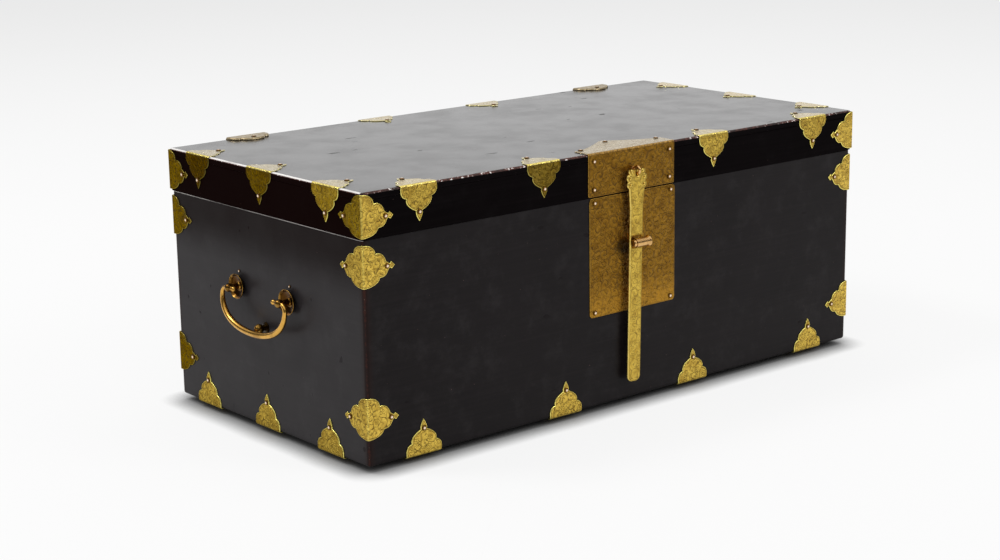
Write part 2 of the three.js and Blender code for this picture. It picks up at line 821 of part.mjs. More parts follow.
// Both handles: the left end's fittings run from front to back along the local X axis,
// the right end's from back to front
function handles(fixedGroup, bails) {
  const ends = [['left', -1, ['back', 'front']], ['right', 1, ['front', 'back']]];
  for (const [end, turn, order] of ends) {
    const side = sideOf(turn, caseWidth, caseDepth);
    order.forEach((place, i) => {
      const along = (i - 0.5) * postSpacing;
      fixedGroup.add(placeOn(side, along, pivotHeight, rosette(`${end}_${place}_rosette`)));
      fixedGroup.add(placeOn(side, along, pivotHeight, post(`${end}_${place}_post`)));
    });
    fixedGroup.add(placeOn(side, 0, strikerHeight, striker(`${end}_striker`)));
    const reached = { angle: side.angle, out: side.out + postStandoff };
    bails.add(placeOn(reached, 0, pivotHeight, bail(`${end}_bail`)));
  }
}

// Hinges, made for a back face turned to -Y, with the axis at the local origin's height

function hingeBore() {
  const bore = barX(hingePinRadius + holeFit, hingeWidth + cutOverrun, barrelSides);
  return bore.translate(0, -hingeAxisOut, 0);
}

function knuckle(length, along) {
  return barX(knuckleRadius, length, barrelSides).translate(along, -hingeAxisOut, 0);
}

// The leaf on the lid's back rail, folded over the top edge, with the middle knuckle
function hingeLidLeaf(name) {
  const half = hingeWidth / 2;
  const root = middleKnuckle / 2;
  const top = lidTop - hingeAxisHeight;
  const face = new THREE.Shape();
  face.moveTo(-root, 0);
  face.lineTo(root, 0);
  face.lineTo(root, knuckleNotch);
  face.lineTo(half, knuckleNotch);
  face.lineTo(half, top + seat + hingeWingSheet);
  face.lineTo(-half, top + seat + hingeWingSheet);
  face.lineTo(-half, knuckleNotch);
  face.lineTo(-root, knuckleNotch);
  const wing = mirroredOutline(hingeWingShares, half, hingeWing, -hingeSkin, hingeWingSideShare);
  const nailX = half - hingeNailInset;
  const nails = [-nailX, nailX].flatMap((x) => [
    nailOn(x, top - hingeNailInset, hingeSheet),
    nailOn(x, knuckleNotch + hingeNailInset, hingeSheet),
  ]);
  const over = plateOver(wing, hingeWingSheet).translate(0, 0, top);
  const crown = nailOver(0, hingeWing - hingeNailInset, hingeWingSheet).translate(0, 0, top);
  const leaf = joined(plateOn(face, hingeSheet), over, crown, knuckle(middleKnuckle, 0), ...nails);
  return mesh(name, cut(leaf, hingeBore()), darkBrass);
}

// The leaf on the back board, with the two outer knuckles carried on webs
function hingeCaseLeaf(name) {
  const half = hingeWidth / 2;
  const drop = hingeLeafDrop - knuckleNotch;
  const plate = plateOn(mirroredOutline(hingeLeafShares, half, drop, 0, hingeLeafSideShare), hingeSheet);
  plate.rotateY(Math.PI).translate(0, lidOverhang, -knuckleNotch);
  const webHeight = 2 * hingeSheet + knuckleClearance;
  const webOut = hingeAxisOut + lidOverhang - seat;
  const webTop = hingeSheet - knuckleRadius;
  const parts = [-1, 1].flatMap((hand) => {
    const along = hand * (hingeWidth - outerKnuckle) / 2;
    const web = box(outerKnuckle, webOut, webHeight);
    web.translate(along, webOut / 2 - hingeAxisOut, webTop - webHeight / 2);
    return [web, knuckle(outerKnuckle, along)];
  });
  const nailX = half - hingeNailInset;
  const nails = [-nailX, nailX].map((x) => {
    return nailOn(x, -knuckleNotch - hingeNailInset, hingeSheet).translate(0, lidOverhang, 0);
  });
  const tip = nailOn(0, hingeNailInset - hingeLeafDrop, hingeSheet).translate(0, lidOverhang, 0);
  return mesh(name, cut(joined(plate, ...parts, ...nails, tip), hingeBore()), darkBrass);
}

function hingePin(name) {
  const pin = barX(hingePinRadius, hingeWidth + 2 * hingePinProud, barrelSides);
  return mesh(name, joined(pin.translate(0, -hingeAxisOut, 0)), darkBrass);
}

function hinges(fixedGroup, lid) {
  const back = sideOf(2, lidWidth, lidDepth);
  for (const [end, hand] of [['left', 1], ['right', -1]]) {
    const along = hand * (lidWidth / 2 - hingeFromEnd);
    lid.add(placeOn(back, along, hingeAxisHeight, hingeLidLeaf(`${end}_hinge_lid_leaf`)));
    fixedGroup.add(placeOn(back, along, hingeAxisHeight, hingeCaseLeaf(`${end}_hinge_case_leaf`)));
    fixedGroup.add(placeOn(back, along, hingeAxisHeight, hingePin(`${end}_hinge_pin`)));
  }
}

// Assembly

const caseBody = new THREE.Group();
const lid = new THREE.Group();
const bails = new THREE.Group();

caseBody.add(caseBoards(), baseEdgeMounts(), caseLockPlate(), lockStaple(), lockPin());
caseBody.add(cornerMounts('upper_corner', upperCornerTop, caseWidth, caseDepth));
caseBody.add(cornerMounts('lower_corner', lowerCornerTop, caseWidth, caseDepth));
lid.add(lidBoards(), lidEdgeMounts(), lidLockPlate(), haspStaple(), haspStrap());
lid.add(cornerMounts('lid_corner', lidCornerTop, lidWidth, lidDepth));
handles(caseBody, bails);
hinges(caseBody, lid);

const trunk = new THREE.Group();
trunk.add(caseBody, lid, bails);
trunk.position.y = toCentre;

export default trunk;
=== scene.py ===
"""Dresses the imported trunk: lacquered boards, engraved brass mounts, lock, handles and hinges.

Everything is in metres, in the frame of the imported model. Each piece is a closed surface worked
out with numpy, rides on a body of the model and stands for the plain solids that it replaces.
"""

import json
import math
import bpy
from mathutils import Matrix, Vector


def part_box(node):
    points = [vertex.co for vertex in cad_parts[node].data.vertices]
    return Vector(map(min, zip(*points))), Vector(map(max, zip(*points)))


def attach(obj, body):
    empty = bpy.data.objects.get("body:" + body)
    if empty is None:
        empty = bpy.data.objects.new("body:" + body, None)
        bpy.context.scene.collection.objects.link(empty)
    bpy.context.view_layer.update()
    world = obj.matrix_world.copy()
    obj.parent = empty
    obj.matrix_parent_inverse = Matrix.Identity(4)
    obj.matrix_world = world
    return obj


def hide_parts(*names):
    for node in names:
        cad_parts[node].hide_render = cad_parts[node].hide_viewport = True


bl_info = {
    "name": "Lacquer Trunk",
    "version": (1, 0, 0),
    "blender": (4, 5, 0),
    "location": "3D View > Sidebar > Trunk",
    "description": "Builds a lacquered trunk with engraved brass mounts over its packed solids",
    "category": "Object",
}

import bpy
import numpy as np
from bpy.props import FloatProperty, FloatVectorProperty, PointerProperty
from mathutils import Matrix, Vector

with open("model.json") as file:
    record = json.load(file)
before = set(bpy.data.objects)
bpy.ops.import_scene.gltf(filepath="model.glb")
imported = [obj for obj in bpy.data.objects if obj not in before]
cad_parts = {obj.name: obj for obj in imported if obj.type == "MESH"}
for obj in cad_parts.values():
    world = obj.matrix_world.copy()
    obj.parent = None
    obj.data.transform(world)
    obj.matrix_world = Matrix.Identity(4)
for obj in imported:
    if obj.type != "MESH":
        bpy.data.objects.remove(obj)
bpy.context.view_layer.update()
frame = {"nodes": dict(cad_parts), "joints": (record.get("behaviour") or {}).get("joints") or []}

MM = 0.001
RIGHT = np.array([1.0, 0.0, 0.0])
BACK = np.array([0.0, 1.0, 0.0])
UP = np.array([0.0, 0.0, 1.0])
SIDES = {"front": -BACK, "back": BACK, "left": -RIGHT, "right": RIGHT}


def node_box(*names):
    """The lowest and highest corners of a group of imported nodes."""
    boxes = [np.array([list(corner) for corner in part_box(name)]) for name in names]
    return np.min([b[0] for b in boxes], 0), np.max([b[1] for b in boxes], 0)


CASE = node_box("front_board", "back_board", "left_end_board", "right_end_board")
LID = node_box("lid_top_board", "lid_front_rail", "lid_back_rail")
JOINTS = {joint["name"]: np.array(joint["pos_m"], float)
          for joint in frame["joints"] if "pos_m" in joint}


def tone(red, green, blue):
    """A display colour of 0 to 255 as the linear colour that a shader takes."""
    share = np.array([red, green, blue]) / 255
    return tuple(np.where(share <= 0.04045, share / 12.92, ((share + 0.055) / 1.055) ** 2.4))


def scaled(colour, *shares):
    """A colour times one share, or times a share for each channel, but at most 1."""
    return tuple(min(part * share, 1) for part, share in zip(colour, shares * 3))


# Sizes and colours


def length_setting(name, description, default, low, high):
    """A length, whose three numbers are in millimetres."""
    return FloatProperty(name=name, description=description, default=default * MM,
                         min=low * MM, max=high * MM, unit="LENGTH")


def colour_setting(name, description, default):
    """A linear colour."""
    return FloatVectorProperty(name=name, description=description, default=default,
                               min=0, max=1, subtype="COLOR")


def share_setting(name, description, default):
    """A share of 0 to 1."""
    return FloatProperty(name=name, description=description, default=default,
                         min=0, max=1, subtype="FACTOR")


def power_setting(name, description, default):
    """The power of a lamp in watts."""
    return FloatProperty(name=name, description=description, default=default,
                         min=0, max=400, unit="POWER")


class BoardSettings(bpy.types.PropertyGroup):
    """Sizes and colours of the lacquered boards"""

    edge_radius: length_setting("Edge Radius", "Rounding of the case's outer edges", 5.2, 0.4, 6)
    lid_edge_radius: length_setting("Lid Edge Radius", "Rounding along the lid's top edge", 3.4, 0.6, 4)
    case_wall: length_setting("Case Wall", "Thickness of the case's walls", 16, 8, 30)
    lid_wall: length_setting("Lid Wall", "Thickness of the lid's rails", 14, 8, 30)
    lacquer: colour_setting("Lacquer", "Colour of the sound lacquer", tone(19, 15, 16))
    worn: colour_setting(
        "Worn Lacquer", "Colour where the lacquer is rubbed thin along the edges", tone(62, 34, 28))
    wood: colour_setting("Inside Wood", "Colour of the bare wood inside and below", tone(84, 56, 38))


class MountSettings(bpy.types.PropertyGroup):
    """Sizes and colours of the edge and corner mounts"""

    sheet: length_setting("Sheet", "Thickness of the brass sheet", 1.0, 0.4, 2)
    edge_width: length_setting("Edge Mount Width", "Width of a mount along its edge", 53.5, 20, 80)
    edge_drop: length_setting("Edge Mount Drop", "Reach of a mount down its face", 45, 20, 80)
    lid_wing: length_setting("Lid Wing", "Reach of a lid mount over the top", 42, 20, 80)
    base_wing: length_setting("Base Wing", "Reach of a base mount under the case", 32, 10, 38)
    corner_height: length_setting("Corner Mount Height", "Height of a corner mount", 52, 20, 80)
    corner_reach: length_setting(
        "Corner Mount Reach", "Reach of a corner mount along each face", 45.5, 20, 80)
    nail_radius: length_setting("Nail Radius", "Radius of a domed nail head", 3.5, 1.5, 5)
    nail_height: length_setting(
        "Nail Height", "Height of a domed nail head over its sheet", 1.75, 0.5, 1.8)
    brass: colour_setting("Brass", "Colour of the bright sheet", tone(240, 204, 90))
    groove: colour_setting("Groove", "Colour of the grime in the engraving", tone(84, 54, 14))


class LockSettings(bpy.types.PropertyGroup):
    """Sizes and colours of the lock plates, strap, staple and pin"""

    lid_plate_width: length_setting("Lid Plate Width", "Width of the plate on the lid", 152, 80, 220)
    lid_plate_wing: length_setting("Lid Plate Wing", "Reach of the lid plate over the top", 62, 20, 90)
    case_plate_width: length_setting("Case Plate Width", "Width of the plate on the case", 152, 80, 220)
    case_plate_height: length_setting(
        "Case Plate Height", "Height of the plate on the case", 157, 80, 220)
    strap_width: length_setting("Strap Width", "Width of the hasp strap below its head", 22, 16, 40)
    strap_reach: length_setting(
        "Strap Reach", "Length of the strap below the ring's centre", 281, 150, 281)
    plate: colour_setting("Plate", "Colour of the darkened plates", tone(150, 110, 36))
    line: colour_setting(
        "Plate Groove", "Colour of the grime in the plates' engraving", tone(66, 42, 12))
    pin: colour_setting("Pin", "Colour of the rubbed ring, staple and pin", tone(226, 180, 116))


class HandleSettings(bpy.types.PropertyGroup):
    """Sizes and colour of the end handles"""

    rosette_radius: length_setting("Rosette Radius", "Radius of a dished rosette", 16.4, 8, 16.4)
    bail_span: length_setting("Bail Span", "Widest span of the bail", 140, 90, 160)
    bail_drop: length_setting("Bail Drop", "Drop of the bail below its pivots", 48.3, 30, 60)
    grip_radius: length_setting("Grip Radius", "Radius of the bail at the grip", 4.3, 2, 5)
    brass: colour_setting("Handle Brass", "Colour of the turned fittings", tone(160, 122, 56))


class HingeSettings(bpy.types.PropertyGroup):
    """Sizes of the hinges on the back"""

    width: length_setting("Hinge Width", "Width of a hinge", 60, 40, 100)
    drop: length_setting("Leaf Drop", "Reach of the case leaf below the hinge axis", 58, 30, 90)
    wing: length_setting("Hinge Wing", "Reach of the lid leaf over the top", 30, 15, 60)


class StageSettings(bpy.types.PropertyGroup):
    """The floor, the lamps and the pale surroundings"""

    floor: colour_setting("Floor", "Colour of the floor", (0.9, 0.9, 0.9))
    fill: FloatProperty(
        name="Fill", description="Strength of the light from the surroundings",
        default=0.62, min=0, max=2)
    pale_share: share_setting(
        "Pale Share", "How far the floor's own white shows instead of its lit colour", 0.84)
    shade_reach: length_setting(
        "Shade Reach", "How close the object must be to darken the floor", 36, 10, 500)
    dim_side: share_setting("Dim Side", "Brightness of the studio's sides in reflections", 0.12)
    key: power_setting("Key", "Power of the soft lamp at the front right", 30)
    rim: power_setting("Rim", "Power of the soft lamp at the back left", 52)


# Surfaces


SNAP = 0.02 * MM
SPARE = 0.3 * MM


class Shell:
    """A closed surface: points, normals, faces as (corner numbers, finish), and point values."""

    def __init__(self, points, normals, faces, **values):
        self.points = points
        self.normals = normals
        self.faces = faces
        self.values = values

    def painted(self, finish):
        """The same surface, all in one finish."""
        self.faces = [(corners, finish) for corners, _ in self.faces]
        return self


def softened(points, radii, steps=4, closed=False):
    """Rows (x, y, normal x, normal y) of a profile whose corners are rounded. At each corner
    an arc of the given radius touches both legs; normals point to the right of the path."""
    points = np.array(points, float)
    radii = np.broadcast_to(radii, len(points))
    rows = []
    for i, point in enumerate(points):
        if not closed and i in (0, len(points) - 1):
            other = points[1] - point if i == 0 else point - points[-2]
            way = other / np.hypot(*other)
            rows.append((*point, way[1], -way[0]))
            continue
        before, after = point - points[i - 1], points[(i + 1) % len(points)] - point
        spans = np.hypot(*before), np.hypot(*after)
        before, after = before / spans[0], after / spans[1]
        turn = math.atan2(before[0] * after[1] - before[1] * after[0], before @ after)
        tangent = min(radii[i] * math.tan(abs(turn) / 2), 0.48 * min(spans))
        radius = tangent / math.tan(abs(turn) / 2)
        side = math.copysign(1, turn)
        first = np.array([before[1], -before[0]])
        centre = point - before * tangent - side * radius * first
        start = math.atan2(first[1], first[0])
        for angle in start + np.linspace(0, turn, steps + 1):
            way = np.array([math.cos(angle), math.sin(angle)])
            rows.append((*(centre + side * radius * way), *way))
    return np.array(rows)


def stacked(rings, normals, closed=False, poles=(False, False), finish=None, caps=(0, 0), **values):
    """Rings of points, row by row, joined into one closed surface: each quad spans two
    neighbours of a ring and the same two of the next ring. A pole is a ring of one point."""
    rows, steps = rings.shape[:2]
    keep = np.ones((rows, steps), bool)
    keep[0, 1:] &= not poles[0]
    keep[-1, 1:] &= not poles[1]
    index = np.cumsum(keep.ravel()).reshape(rows, steps) - 1
    if closed:
        index = np.vstack([index, index[:1]])
    low, high = index[:-1], index[1:]
    low_next, high_next = np.roll(low, -1, 1), np.roll(high, -1, 1)
    quads = np.stack([low, low_next, high_next, high], -1)
    bands = np.zeros(len(quads), int) if finish is None else np.asarray(finish)
    first, last = int(poles[0]), len(quads) - int(poles[1])
    faces = [(quads[i], int(bands[i])) for i in range(first, last)]
    if poles[0]:
        faces.append((np.stack([low[0], high_next[0], high[0]], -1), int(bands[0])))
    elif not closed:
        faces.append((index[0][::-1][None], caps[0]))
    if poles[1]:
        faces.append((np.stack([low[-1], low_next[-1], high[-1]], -1), int(bands[-1])))
    elif not closed:
        faces.append((index[-1][None], caps[1]))
    picked = keep.ravel()
    return Shell(rings.reshape(-1, 3)[picked], normals.reshape(-1, 3)[picked], faces,
                 **{key: value.reshape(-1, *value.shape[2:])[picked] for key, value in values.items()})


def boxed(low, high, corner, rows, around=None, closed=False, inner=None, caps=(0, 0), bow=None):
    """A profile of (out, height) rows carried round a rounded rectangle. A row lies on the
    rectangle between low and high moved out by its first number; corners keep their centre.
    The values place and half measure each point from the middle of the block it belongs to.
    Bands that face the direction inner get finish 1, and rounded upper edges finish bow."""
    low, high = np.asarray(low, float), np.asarray(high, float)
    middle, half = (low + high) / 2, (high - low) / 2
    angle = np.concatenate([np.radians(90 * k + np.linspace(0, 90, 5)) for k in range(4)])
    sign = np.repeat([[1, 1], [-1, 1], [-1, -1], [1, -1]], 5, 0)
    way = np.stack([np.cos(angle), np.sin(angle)], -1)
    out = rows[:, 0][:, None, None]
    radius = np.maximum(corner + out, 0.3 * MM)
    flat = middle[:2] + sign * (half[:2] + out - radius) + radius * way
    height = np.broadcast_to(rows[:, 1][:, None, None], (*flat.shape[:2], 1))
    rings = np.concatenate([flat, height], -1)
    lean = np.broadcast_to(rows[:, 3][:, None, None], height.shape)
    normals = np.concatenate([way * rows[:, 2][:, None, None], lean], -1)
    reference = np.array(around if around is not None else (low, high), float)
    place = rings - reference.mean(0)
    halves = np.broadcast_to((reference[1] - reference[0]) / 2, rings.shape)
    finish = None
    if inner is not None:
        mean = (rows + np.roll(rows, -1, 0)) / 2
        lean = mean[:, 2:] @ np.asarray(inner, float)
        finish = (lean > 0.8).astype(int)
        if bow is not None:
            finish = np.where((lean > 0.15) & (lean < 0.9) & (mean[:, 3] > 0), bow, finish)
        finish = finish if closed else finish[:-1]
    return stacked(rings, normals, closed, finish=finish, caps=caps, place=place, half=halves)


def slab(low, high, corner, top_radius, bottom_radius, around=None, inner=None, caps=(0, 0), bow=None):
    """A solid board: a profile that runs out under it, up its side and back over it."""
    inset = min(12 * MM, 0.2 * (high[0] - low[0]), 0.2 * (high[1] - low[1]))
    points = [(-inset, low[2]), (0, low[2]), (0, high[2]), (-inset, high[2])]
    rows = softened(points, [0, bottom_radius, top_radius, 0])
    return boxed(low, high, corner, rows, around, inner=inner, caps=caps, bow=bow)


def wall(low, high, corner, thickness, top_radius, bottom_radius, around):
    """A frame of walls: a closed upright profile carried round the rectangle."""
    points = [(0, low[2]), (0, high[2]), (-thickness, high[2]), (-thickness, low[2])]
    rows = softened(points, [bottom_radius, top_radius, 0.8 * MM, 0.8 * MM], closed=True)
    return boxed(low, high, corner, rows, around, closed=True, inner=(-1, 0))


def cross_frame(axis):
    """Two directions at right angles to an axis, right-handed with it."""
    axis = np.asarray(axis, float) / np.linalg.norm(axis)
    guide = UP if abs(axis[2]) < 0.9 else RIGHT
    first = np.cross(guide, axis)
    first /= np.linalg.norm(first)
    return first, np.cross(axis, first), axis


def lathed(origin, axis, points, radii, sides=32, steps=3, closed=False):
    """A profile of (radius, distance) points turned round an axis: ring angles are even,
    and a point at radius 0 is a pole. The value turn is the share of the widest radius."""
    rows = softened(points, radii, steps, closed)
    first, second, axis = cross_frame(axis)
    angle = np.linspace(0, 2 * math.pi, sides, endpoint=False)
    way = np.cos(angle)[:, None] * first + np.sin(angle)[:, None] * second
    rings = np.asarray(origin) + rows[:, None, :1] * way + rows[:, None, 1:2] * axis
    normals = rows[:, None, 2:3] * way + rows[:, None, 3:4] * axis
    share = np.broadcast_to((rows[:, 0] / rows[:, 0].max())[:, None], rings.shape[:2])
    poles = (not closed and points[0][0] == 0, not closed and points[-1][0] == 0)
    if poles[0]:
        normals[0] = -axis
    if poles[1]:
        normals[-1] = axis
    return stacked(rings, normals, closed, poles, turn=share)


def turned(origin, axis, rows, soft, sides=32, steps=3, closed=False):
    """A lathed shape whose rows and roundings are given in millimetres."""
    return lathed(origin, axis, np.array(rows) * MM, np.array(soft) * MM, sides, steps, closed)


def ball_points(radius, out, neck=0.0, steps=10):
    """(radius, distance) points of a ball on an axis, from the circle where a neck of the
    given radius meets it to its far pole."""
    start = math.asin(neck / radius) if neck else math.pi / steps / 2
    angle = start + (math.pi - start) * np.arange(steps) / steps
    points = np.stack([radius * np.sin(angle), out - radius * np.cos(angle)], -1)
    return [tuple(point) for point in points] + [(0, out + radius)]


def ball(origin, radius, axis=UP, sides=24):
    """A round ball: a half circle turned round its axis."""
    return lathed(origin, axis, [(0, -radius)] + ball_points(radius, 0), 0.2 * MM, sides, 1)


def tube(path, radii, sides=20, closed=False):
    """A round bar along a path: rings at right angles to the path, each with its own radius,
    whose first spoke lies across the plane that the path is in."""
    path = np.asarray(path, float)
    radii = np.broadcast_to(radii, len(path))
    if closed:
        along = np.roll(path, -1, 0) - np.roll(path, 1, 0)
    else:
        along = np.gradient(path, axis=0)
    along /= np.linalg.norm(along, axis=1)[:, None]
    turns = np.cross(along, np.roll(along, -1, 0))
    spread = (turns if closed else turns[:-1]).sum(0)
    size = np.linalg.norm(spread)
    side = spread / size if size > 1e-9 else cross_frame(along[0])[0]
    other = np.cross(along, side)
    angle = np.linspace(0, 2 * math.pi, sides, endpoint=False)
    way = np.cos(angle)[None, :, None] * side + np.sin(angle)[None, :, None] * other[:, None]
    rings = path[:, None] + radii[:, None, None] * way
    share = np.broadcast_to((radii / radii.max())[:, None], rings.shape[:2])
    return stacked(rings, way, closed, turn=share)


def bezier(rows, start, steps=14):
    """Points along joined cubic curves given as rows (first handle, second handle, end)."""
    t = np.linspace(0, 1, steps + 1)[1:, None]
    rest = 1 - t
    points, here = [np.array([start], float)], np.array(start, float)
    for row in rows:
        a, b, end = np.array(row, float).reshape(3, 2)
        points.append(here * rest ** 3 + 3 * a * t * rest ** 2 + 3 * b * t ** 2 * rest + end * t ** 3)
        here = end
    return np.concatenate(points)


def polygon_field(corners):
    """The signed distance to a polygon, below 0 inside it: the shortest distance to a side,
    with its sign from the number of sides that lie to one side of the point."""
    start = np.asarray(corners, float)
    side = np.roll(start, -1, 0) - start

    def field(points):
        gap = points[:, None] - start
        share = np.clip((gap * side).sum(-1) / (side ** 2).sum(-1), 0, 1)
        distance = np.linalg.norm(gap - share[..., None] * side, axis=-1).min(1)
        crosses = (gap[..., 1] < 0) != (gap[..., 1] < side[:, 1])
        slope = np.divide(side[:, 0], side[:, 1], out=np.zeros(len(side)), where=side[:, 1] != 0)
        odd = (crosses & (gap[..., 0] < gap[..., 1] * slope)).sum(1) % 2 == 1
        return np.where(odd, -distance, distance)

    return field


def disc_field(centre, radius):
    """The signed distance to a circle, below 0 inside it."""
    return lambda points: np.linalg.norm(points - np.asarray(centre), axis=-1) - radius


def joined_field(*fields):
    """The nearest of several shapes."""
    return lambda points: np.min([field(points) for field in fields], 0)


def cut_field(body, *holes):
    """A shape with holes taken out of it."""
    return lambda points: np.max([body(points)] + [-hole(points) for hole in holes], 0)


class Fold:
    """How a flat sheet lies on two faces that meet in an edge. The second flat coordinate runs
    down the first face from the bend; below 0 it goes round the bend and over the second face."""

    def __init__(self, origin, across, face, over, bend=1.6 * MM, lift=0.3 * MM):
        self.origin, self.across = np.asarray(origin, float), np.asarray(across, float)
        self.face, self.over = np.asarray(face, float), np.asarray(over, float)
        self.bend, self.lift = bend, lift
        self.arc = (bend + 0.8 * MM) * math.pi / 2 if bend else 1e-9

    def directions(self, flat):
        """The ways out of the sheet and down along it at each flat point."""
        angle = np.clip(-flat[:, 1:] / self.arc, 0, 1) * math.pi / 2
        out = np.cos(angle) * self.face + np.sin(angle) * self.over
        return out, np.sin(angle) * self.face - np.cos(angle) * self.over

    def place(self, flat, height):
        """Each flat point lifted to its height: arc about the bend's centre, then straight."""
        out, _ = self.directions(flat)
        down = np.maximum(flat[:, 1:], 0) * self.over
        inward = np.maximum(-flat[:, 1:] - self.arc, 0) * self.face
        centre = self.origin - (self.face + self.over) * self.bend
        height = np.broadcast_to(height, len(flat))[:, None]
        return centre + flat[:, :1] * self.across + (self.bend + height) * out - down - inward


def cut_grid(field, across_lines, down_lines):
    """The part of a flat grid that lies inside an outline: cells that the outline crosses are
    cut where the signed distance is 0, and a point nearer to it than SNAP counts as inside.
    Returns the points with the inner ones first, how many those are, the faces in blocks of
    one corner count, and the steps of the border as pairs."""
    a, b = np.meshgrid(across_lines, down_lines, indexing="ij")
    grid = np.stack([a, b], -1)
    flat = grid.reshape(-1, 2)
    f = field(flat)
    f = np.where(np.abs(f) < SNAP, -SNAP, f).reshape(a.shape)
    inside = f < 0
    number = np.full(a.shape, -1)
    number[inside] = np.arange(inside.sum())
    count = int(inside.sum())
    points = [grid[inside]]
    crossings = []
    for step in ((1, 0), (0, 1)):
        here = (slice(0, a.shape[0] - step[0]), slice(0, a.shape[1] - step[1]))
        there = (slice(step[0], None), slice(step[1], None))
        mixed = inside[here] != inside[there]
        share = (f[here] / np.where(mixed, f[here] - f[there], 1))[..., None]
        cut = grid[here] + share * (grid[there] - grid[here])
        ids = np.full(mixed.shape, -1)
        ids[mixed] = count + np.arange(mixed.sum())
        count += int(mixed.sum())
        points.append(cut[mixed])
        crossings.append(ids)
    flat = np.concatenate(points)
    corners = [number[:-1, :-1], number[1:, :-1], number[1:, 1:], number[:-1, 1:]]
    edges = [crossings[0][:, :-1], crossings[1][1:], crossings[0][:, 1:], crossings[1][:-1]]
    state = sum((corner >= 0).astype(int) << k for k, corner in enumerate(corners))
    upper, borders = [], []
    for case in range(1, 16):
        held = state == case
        if not held.any():
            continue
        walk, marks = [], []
        for k in range(4):
            here, there = case >> k & 1, case >> (k + 1) % 4 & 1
            if here:
                walk.append(corners[k][held])
                marks.append(False)
            if here != there:
                walk.append(edges[k][held])
                marks.append(bool(here))
        upper.append(np.stack(walk, -1))
        for k, leaving in enumerate(marks):
            if leaving:
                borders.append(np.stack([walk[k], walk[(k + 1) % len(walk)]], -1))
    return flat, int(inside.sum()), upper, np.concatenate(borders)


def cut_sheet(fold, field, across_lines, down_lines, thickness, rim=0.9 * MM, seed=0.0,
              age=(0, 0), wing=0.0):
    """A sheet cut to an outline and bent over an edge. The upper face sinks towards the border
    like a quarter circle, the lower face is the same cut without it, and a wall joins their
    borders. Thickness and age are pairs: on the first face and past the bend.
    Values: leaf is the flat place in millimetres with a shift per sheet, rim the distance to
    the border in millimetres, age how far painted shade and tarnish darken the
    sheet, wing the share past the bend, and bend 1 at the middle of the bend."""
    flat, inner, upper, borders = cut_grid(field, across_lines, down_lines)
    nudge = 0.05 * MM * np.eye(2)
    slope = np.stack([field(flat + step) - field(flat - step) for step in nudge], -1)
    slope /= np.maximum(np.linalg.norm(slope, axis=1), 1e-9)[:, None]
    depth = np.maximum(-field(flat), 0)
    depth[inner:] = 0
    share = np.clip(depth / rim, 0, 1)
    sunk = np.sqrt(np.maximum(1 - (1 - share) ** 2, 0))
    past = np.clip(-flat[:, 1] / fold.arc, 0, 1)
    near, far = np.broadcast_to(thickness, 2)
    thickness = near + (far - near) * past
    height = fold.lift + thickness * (0.4 + 0.6 * sunk)
    slant = np.arctan2(0.6 * thickness * (1 - share), rim * np.maximum(sunk, 1e-4))
    tilt = np.where(share < 1, np.minimum(slant, 1.2), 0)
    out, down = fold.directions(flat)
    away = slope[:, :1] * fold.across + slope[:, 1:] * down
    normals = np.cos(tilt)[:, None] * out + np.sin(tilt)[:, None] * away
    top = fold.place(flat, height)
    bottom = fold.place(flat, fold.lift)
    total = len(flat)
    here, there = borders.T
    walls = np.stack([there, here, here + total, there + total], -1)
    faces = upper + [face[:, ::-1] + total for face in upper] + [walls]
    if np.cross(fold.across, -fold.over) @ fold.face < 0:
        faces = [face[:, ::-1] for face in faces]
    under = np.where(np.arange(total)[:, None] < inner, -out, away)
    leaf = np.concatenate([flat / MM + (37.3 * seed, 91.7 * seed), np.zeros((total, 1))], -1)
    return Shell(np.concatenate([top, bottom]), np.concatenate([normals, under]),
                 [(face, 0) for face in faces],
                 leaf=np.concatenate([leaf, leaf]), rim=np.tile(depth / MM, 2),
                 age=np.tile(age[0] + (age[1] - age[0]) * past, 2), wing=np.tile(wing * past, 2),
                 bend=np.tile(4 * past * (1 - past), 2))


def domed_nail(fold, flat, base, radius, height):
    """A nail head on a sheet: a short skirt, then a dome, turned round the sheet's normal."""
    flat = np.array([flat], float)
    origin = fold.place(flat, fold.lift + base * 0.5)[0]
    axis = fold.directions(flat)[0][0]
    foot = base * 0.5
    points = [(0, 0), (radius, 0), (radius, foot + 0.2 * height), (0.86 * radius, foot + 0.5 * height),
              (0.52 * radius, foot + 0.86 * height), (0, foot + height)]
    soft = [0, 0.1 * MM, 0.35 * MM, 0.8 * MM, 1.4 * MM, 0]
    return lathed(origin, axis, points, soft, sides=18, steps=2).painted(1)


def nail_heads(fold, places, sheet, mounts, height=None):
    """A domed nail head at each flat place of a sheet."""
    height = height or mounts.nail_height
    return [domed_nail(fold, place, sheet, mounts.nail_radius, height) for place in places]


